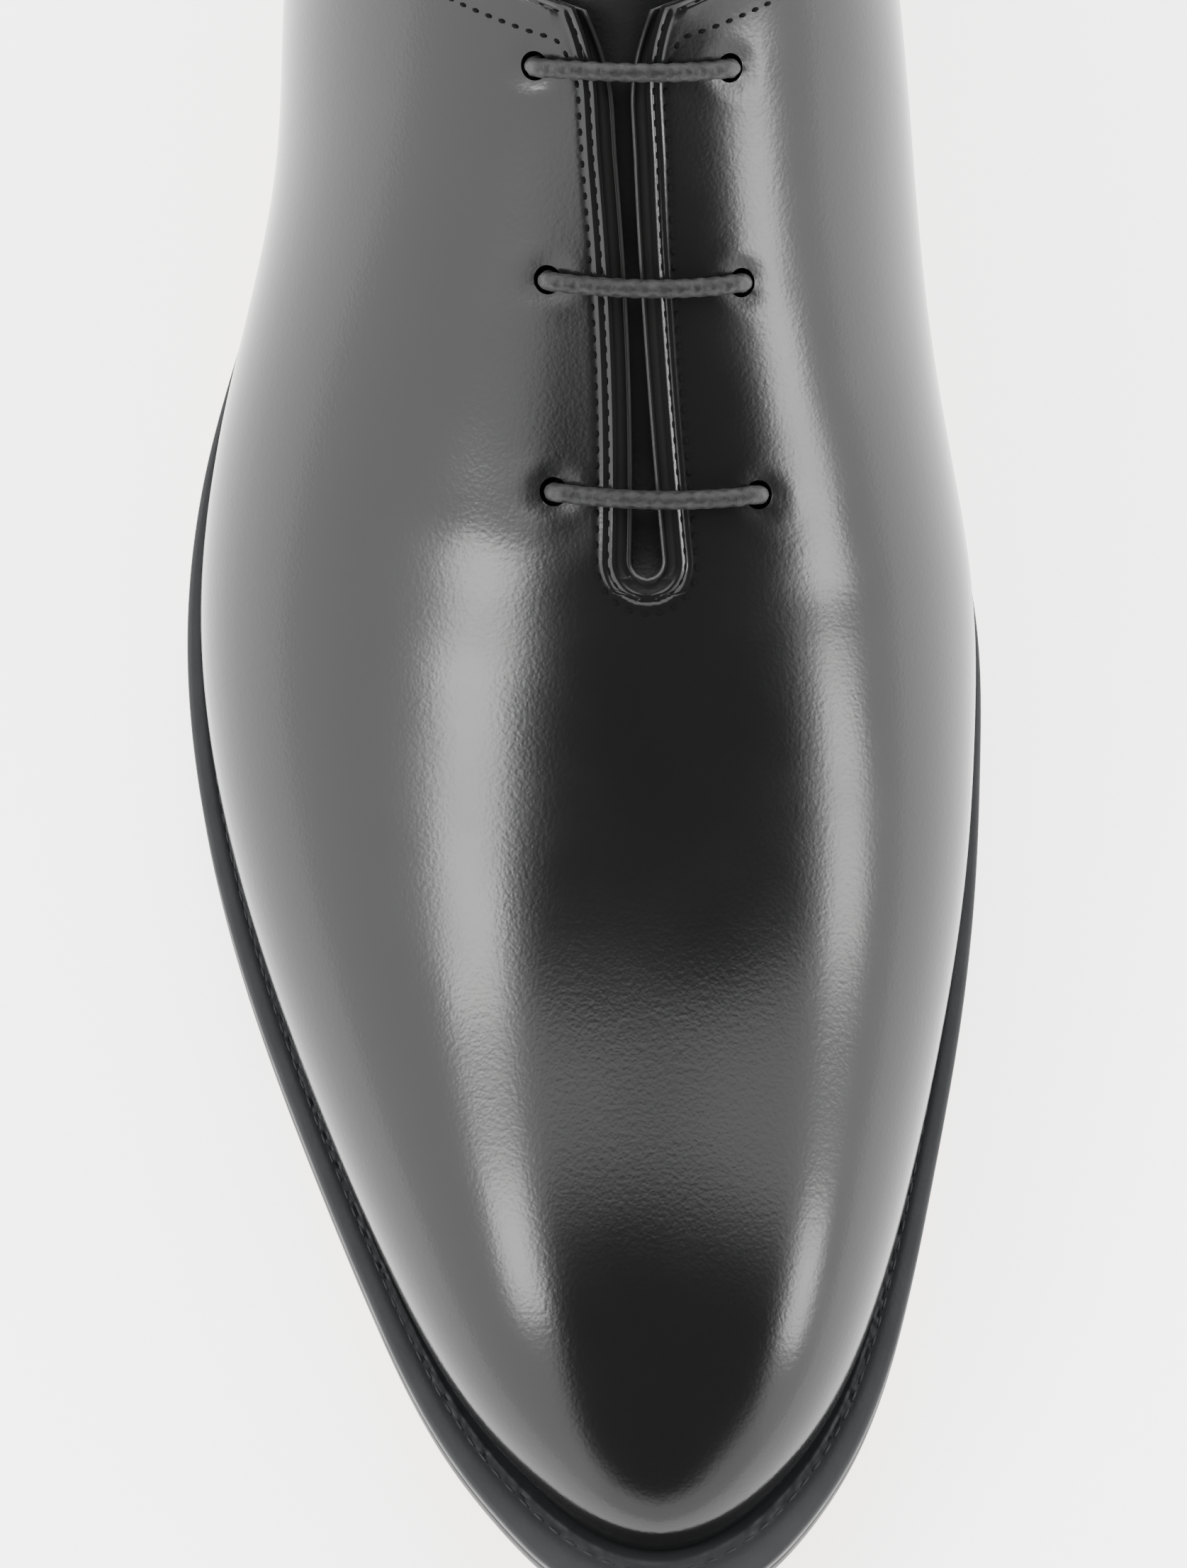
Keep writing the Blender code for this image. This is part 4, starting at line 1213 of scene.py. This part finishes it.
def lace_finish():
    made, shader = shader_of("braided_cotton", (0.010, 0.010, 0.0103), 0.45,
                             Specular_IOR_Level=0.22)
    vary(made, shader, "Base Color", 900.0, (0.005, 0.005, 0.0052), (0.020, 0.020, 0.021))
    add_bump(made, shader, (("noise", 4200.0, 0.000060), ("noise", 1200.0, 0.000060)))
    return made


# Stage

# Softboxes: degrees from straight up, and how wide they look in degrees.
LATERAL_BOX = (47.5, 14.0)
MEDIAL_BOX = (68.0, 13.0)
# The dark opening over the toe: where it starts and is full, as parts of a direction across to the
# medial side, backwards and up.
OPENING_LEFT = (-0.68, -0.50)
OPENING_RIGHT = (0.76, 0.90)
OPENING_BACK = (-0.09, -0.02)
OPENING_LOW = (0.30, 0.62)
# What the camera and the softboxes look at.
LOOK_AT = (0.00127, -0.04565, 0.020)
LIGHT_AT = (0.0, -0.05, 0.03)


def make_floor(glow):
    bm = bmesh.new()
    bmesh.ops.create_circle(bm, cap_ends=True, segments=64, radius=6.0)
    mesh = bpy.data.meshes.new("floor")
    bm.to_mesh(mesh)
    bm.free()
    made, _ = shader_of("pale_floor", (0.93, 0.93, 0.93), 0.7, Emission_Color=(1.0, 1.0, 1.0, 1.0),
                        Emission_Strength=glow)
    mesh.materials.append(made)
    floor = bpy.data.objects.new("floor", mesh)
    floor.location.z = -0.0002
    bpy.context.scene.collection.objects.link(floor)


def soft_step(tree, value, start, end, low, high):
    """A smooth change from low at start to high at end."""
    step = tree.nodes.new("ShaderNodeMapRange")
    step.interpolation_type = "SMOOTHSTEP"
    for socket, given in (("From Min", start), ("From Max", end), ("To Min", low),
                          ("To Max", high)):
        step.inputs[socket].default_value = given
    tree.links.new(value, step.inputs["Value"])
    return step.outputs["Result"]


def product(tree, first, second):
    node = tree.nodes.new("ShaderNodeMath")
    node.operation = "MULTIPLY"
    tree.links.new(first, node.inputs[0])
    tree.links.new(second, node.inputs[1])
    return node.outputs[0]


def make_world(stage):
    """A pale tent with the dark opening over the toe that the photo's reflections show."""
    world = bpy.data.worlds.new("studio")
    world.use_nodes = True
    bpy.context.scene.world = world
    tree = world.node_tree
    background = tree.nodes["Background"]
    place = tree.nodes.new("ShaderNodeTexCoord")
    split = tree.nodes.new("ShaderNodeSeparateXYZ")
    tree.links.new(place.outputs["Generated"], split.inputs[0])
    across, ahead, up = split.outputs
    left = soft_step(tree, across, *OPENING_LEFT, 0.0, 1.0)
    right = soft_step(tree, across, *OPENING_RIGHT, 1.0, 0.0)
    front = soft_step(tree, ahead, *OPENING_BACK, 1.0, 0.0)
    high = soft_step(tree, up, *OPENING_LOW, 0.25, 1.0)
    inside = product(tree, product(tree, left, right), product(tree, front, high))
    level = soft_step(tree, inside, 0.0, 1.0, stage.tent, stage.opening)
    tree.links.new(level, background.inputs["Strength"])
    background.inputs["Color"].default_value = (1.0, 1.0, 1.0, 1.0)


def softbox(name, side, stage, polar, wide, radiance):
    """A long soft light beside the shoe, at an angle from straight up. Its long side runs heel to
    toe."""
    reach, long_side = stage.light_reach, stage.light_length
    angle = math.radians(polar)
    place = Vector((side * math.sin(angle), -stage.light_ahead, math.cos(angle))) * reach
    data = bpy.data.lights.new(name, "AREA")
    data.shape = "RECTANGLE"
    data.size = 2.0 * reach * math.tan(math.radians(wide / 2.0))
    data.size_y = long_side
    data.energy = radiance * math.pi * data.size * long_side
    light = bpy.data.objects.new(name, data)
    light.location = place
    aim = (Vector(LIGHT_AT) - place).normalized()
    across = aim.cross(Vector((0.0, 1.0, 0.0))).normalized()
    light.rotation_euler = Matrix((across, across.cross(aim), -aim)).transposed().to_euler()
    bpy.context.scene.collection.objects.link(light)


def make_camera(stage):
    data = bpy.data.cameras.new("camera")
    camera = bpy.data.objects.new("camera", data)
    bpy.context.scene.collection.objects.link(camera)
    bpy.context.scene.camera = camera
    data.sensor_width = 36.0
    data.lens = stage.lens
    yaw, tilt = math.radians(stage.turn), math.radians(stage.elevation)
    back = Vector((math.sin(yaw) * math.cos(tilt), -math.cos(yaw) * math.cos(tilt),
                   math.sin(tilt)))
    camera.location = Vector(LOOK_AT) + back * stage.distance
    look = (-back).to_track_quat("-Z", "Y").to_matrix().to_4x4()
    camera.rotation_euler = (look @ Matrix.Rotation(math.radians(stage.roll), 4, "Z")).to_euler()
    data.clip_start, data.clip_end = 0.01, 50.0


def make_stage(stage):
    make_floor(stage.floor_glow)
    make_world(stage)
    softbox("lateral_softbox", LATERAL, stage, *LATERAL_BOX, stage.lateral_light)
    softbox("medial_softbox", MEDIAL, stage, *MEDIAL_BOX, stage.medial_light)
    make_camera(stage)


# Operators and panel

class OXFORD_OT_upper(bpy.types.Operator):
    """Calf, lining and stitches of the upper"""

    bl_idname = "oxford.upper"
    bl_label = "Upper"

    def execute(self, context):
        shoe = Shoe(context.scene)
        cutter = eyelet_cutter(shoe)
        make_calf(shoe, calf_finish(), cutter)
        make_lining(shoe, lining_finish(), cutter)
        bpy.data.objects.remove(cutter)
        make_edge_stitches(shoe, thread_finish())
        return {"FINISHED"}


class OXFORD_OT_tongue(bpy.types.Operator):
    """Tongue under the lacing"""

    bl_idname = "oxford.tongue"
    bl_label = "Tongue"

    def execute(self, context):
        make_tongue(Shoe(context.scene), tongue_finish())
        return {"FINISHED"}


class OXFORD_OT_lace(bpy.types.Operator):
    """Lace in three straight bars"""

    bl_idname = "oxford.lace"
    bl_label = "Lace"

    def execute(self, context):
        make_lace(Shoe(context.scene), lace_finish())
        return {"FINISHED"}


class OXFORD_OT_bottom(bpy.types.Operator):
    """Welt, outsole and sock"""

    bl_idname = "oxford.bottom"
    bl_label = "Bottom"

    def execute(self, context):
        shoe = Shoe(context.scene)
        edge = edge_finish()
        make_welt(shoe, edge)
        make_welt_stitches(shoe, edge)
        make_outsole(shoe, sole_finish(), edge)
        make_sock(shoe, lining_finish())
        return {"FINISHED"}


class OXFORD_OT_heel(bpy.types.Operator):
    """Heel lifts and rubber top piece"""

    bl_idname = "oxford.heel"
    bl_label = "Heel"

    def execute(self, context):
        make_heel(Shoe(context.scene), edge_finish(), rubber_finish())
        return {"FINISHED"}


class OXFORD_OT_stage(bpy.types.Operator):
    """Floor, light and camera"""

    bl_idname = "oxford.stage"
    bl_label = "Stage"

    def execute(self, context):
        make_stage(context.scene.oxford_stage)
        return {"FINISHED"}


SETTINGS = (("oxford_last", LastSizes), ("oxford_upper", UpperSizes),
            ("oxford_bottom", BottomSizes), ("oxford_lacing", LacingSizes),
            ("oxford_stage", StageSizes))
OPERATORS = (OXFORD_OT_upper, OXFORD_OT_tongue, OXFORD_OT_lace, OXFORD_OT_bottom, OXFORD_OT_heel,
             OXFORD_OT_stage)


class OXFORD_PT_panel(bpy.types.Panel):
    """Sizes of the shoe and a button for each of its pieces"""

    bl_idname = "OXFORD_PT_panel"
    bl_label = "Whole Cut Oxford"
    bl_space_type = "VIEW_3D"
    bl_region_type = "UI"
    bl_category = "Oxford"

    def draw(self, context):
        for name, group in SETTINGS:
            box = self.layout.box()
            box.label(text=group.__name__)
            for each in group.__annotations__:
                box.prop(getattr(context.scene, name), each)
        for operator in OPERATORS:
            self.layout.operator(operator.bl_idname)


def register():
    for _, group in SETTINGS:
        bpy.utils.register_class(group)
    for name, group in SETTINGS:
        setattr(bpy.types.Scene, name, PointerProperty(type=group))
    for each in OPERATORS + (OXFORD_PT_panel,):
        bpy.utils.register_class(each)


def unregister():
    for each in (OXFORD_PT_panel,) + OPERATORS[::-1]:
        bpy.utils.unregister_class(each)
    for name, group in SETTINGS[::-1]:
        delattr(bpy.types.Scene, name)
        bpy.utils.unregister_class(group)


def main():
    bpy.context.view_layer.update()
    register()
    bpy.ops.oxford.upper()
    bpy.ops.oxford.tongue()
    bpy.ops.oxford.lace()
    bpy.ops.oxford.bottom()
    bpy.ops.oxford.heel()
    bpy.ops.oxford.stage()


if __name__ == "__main__":
    main()
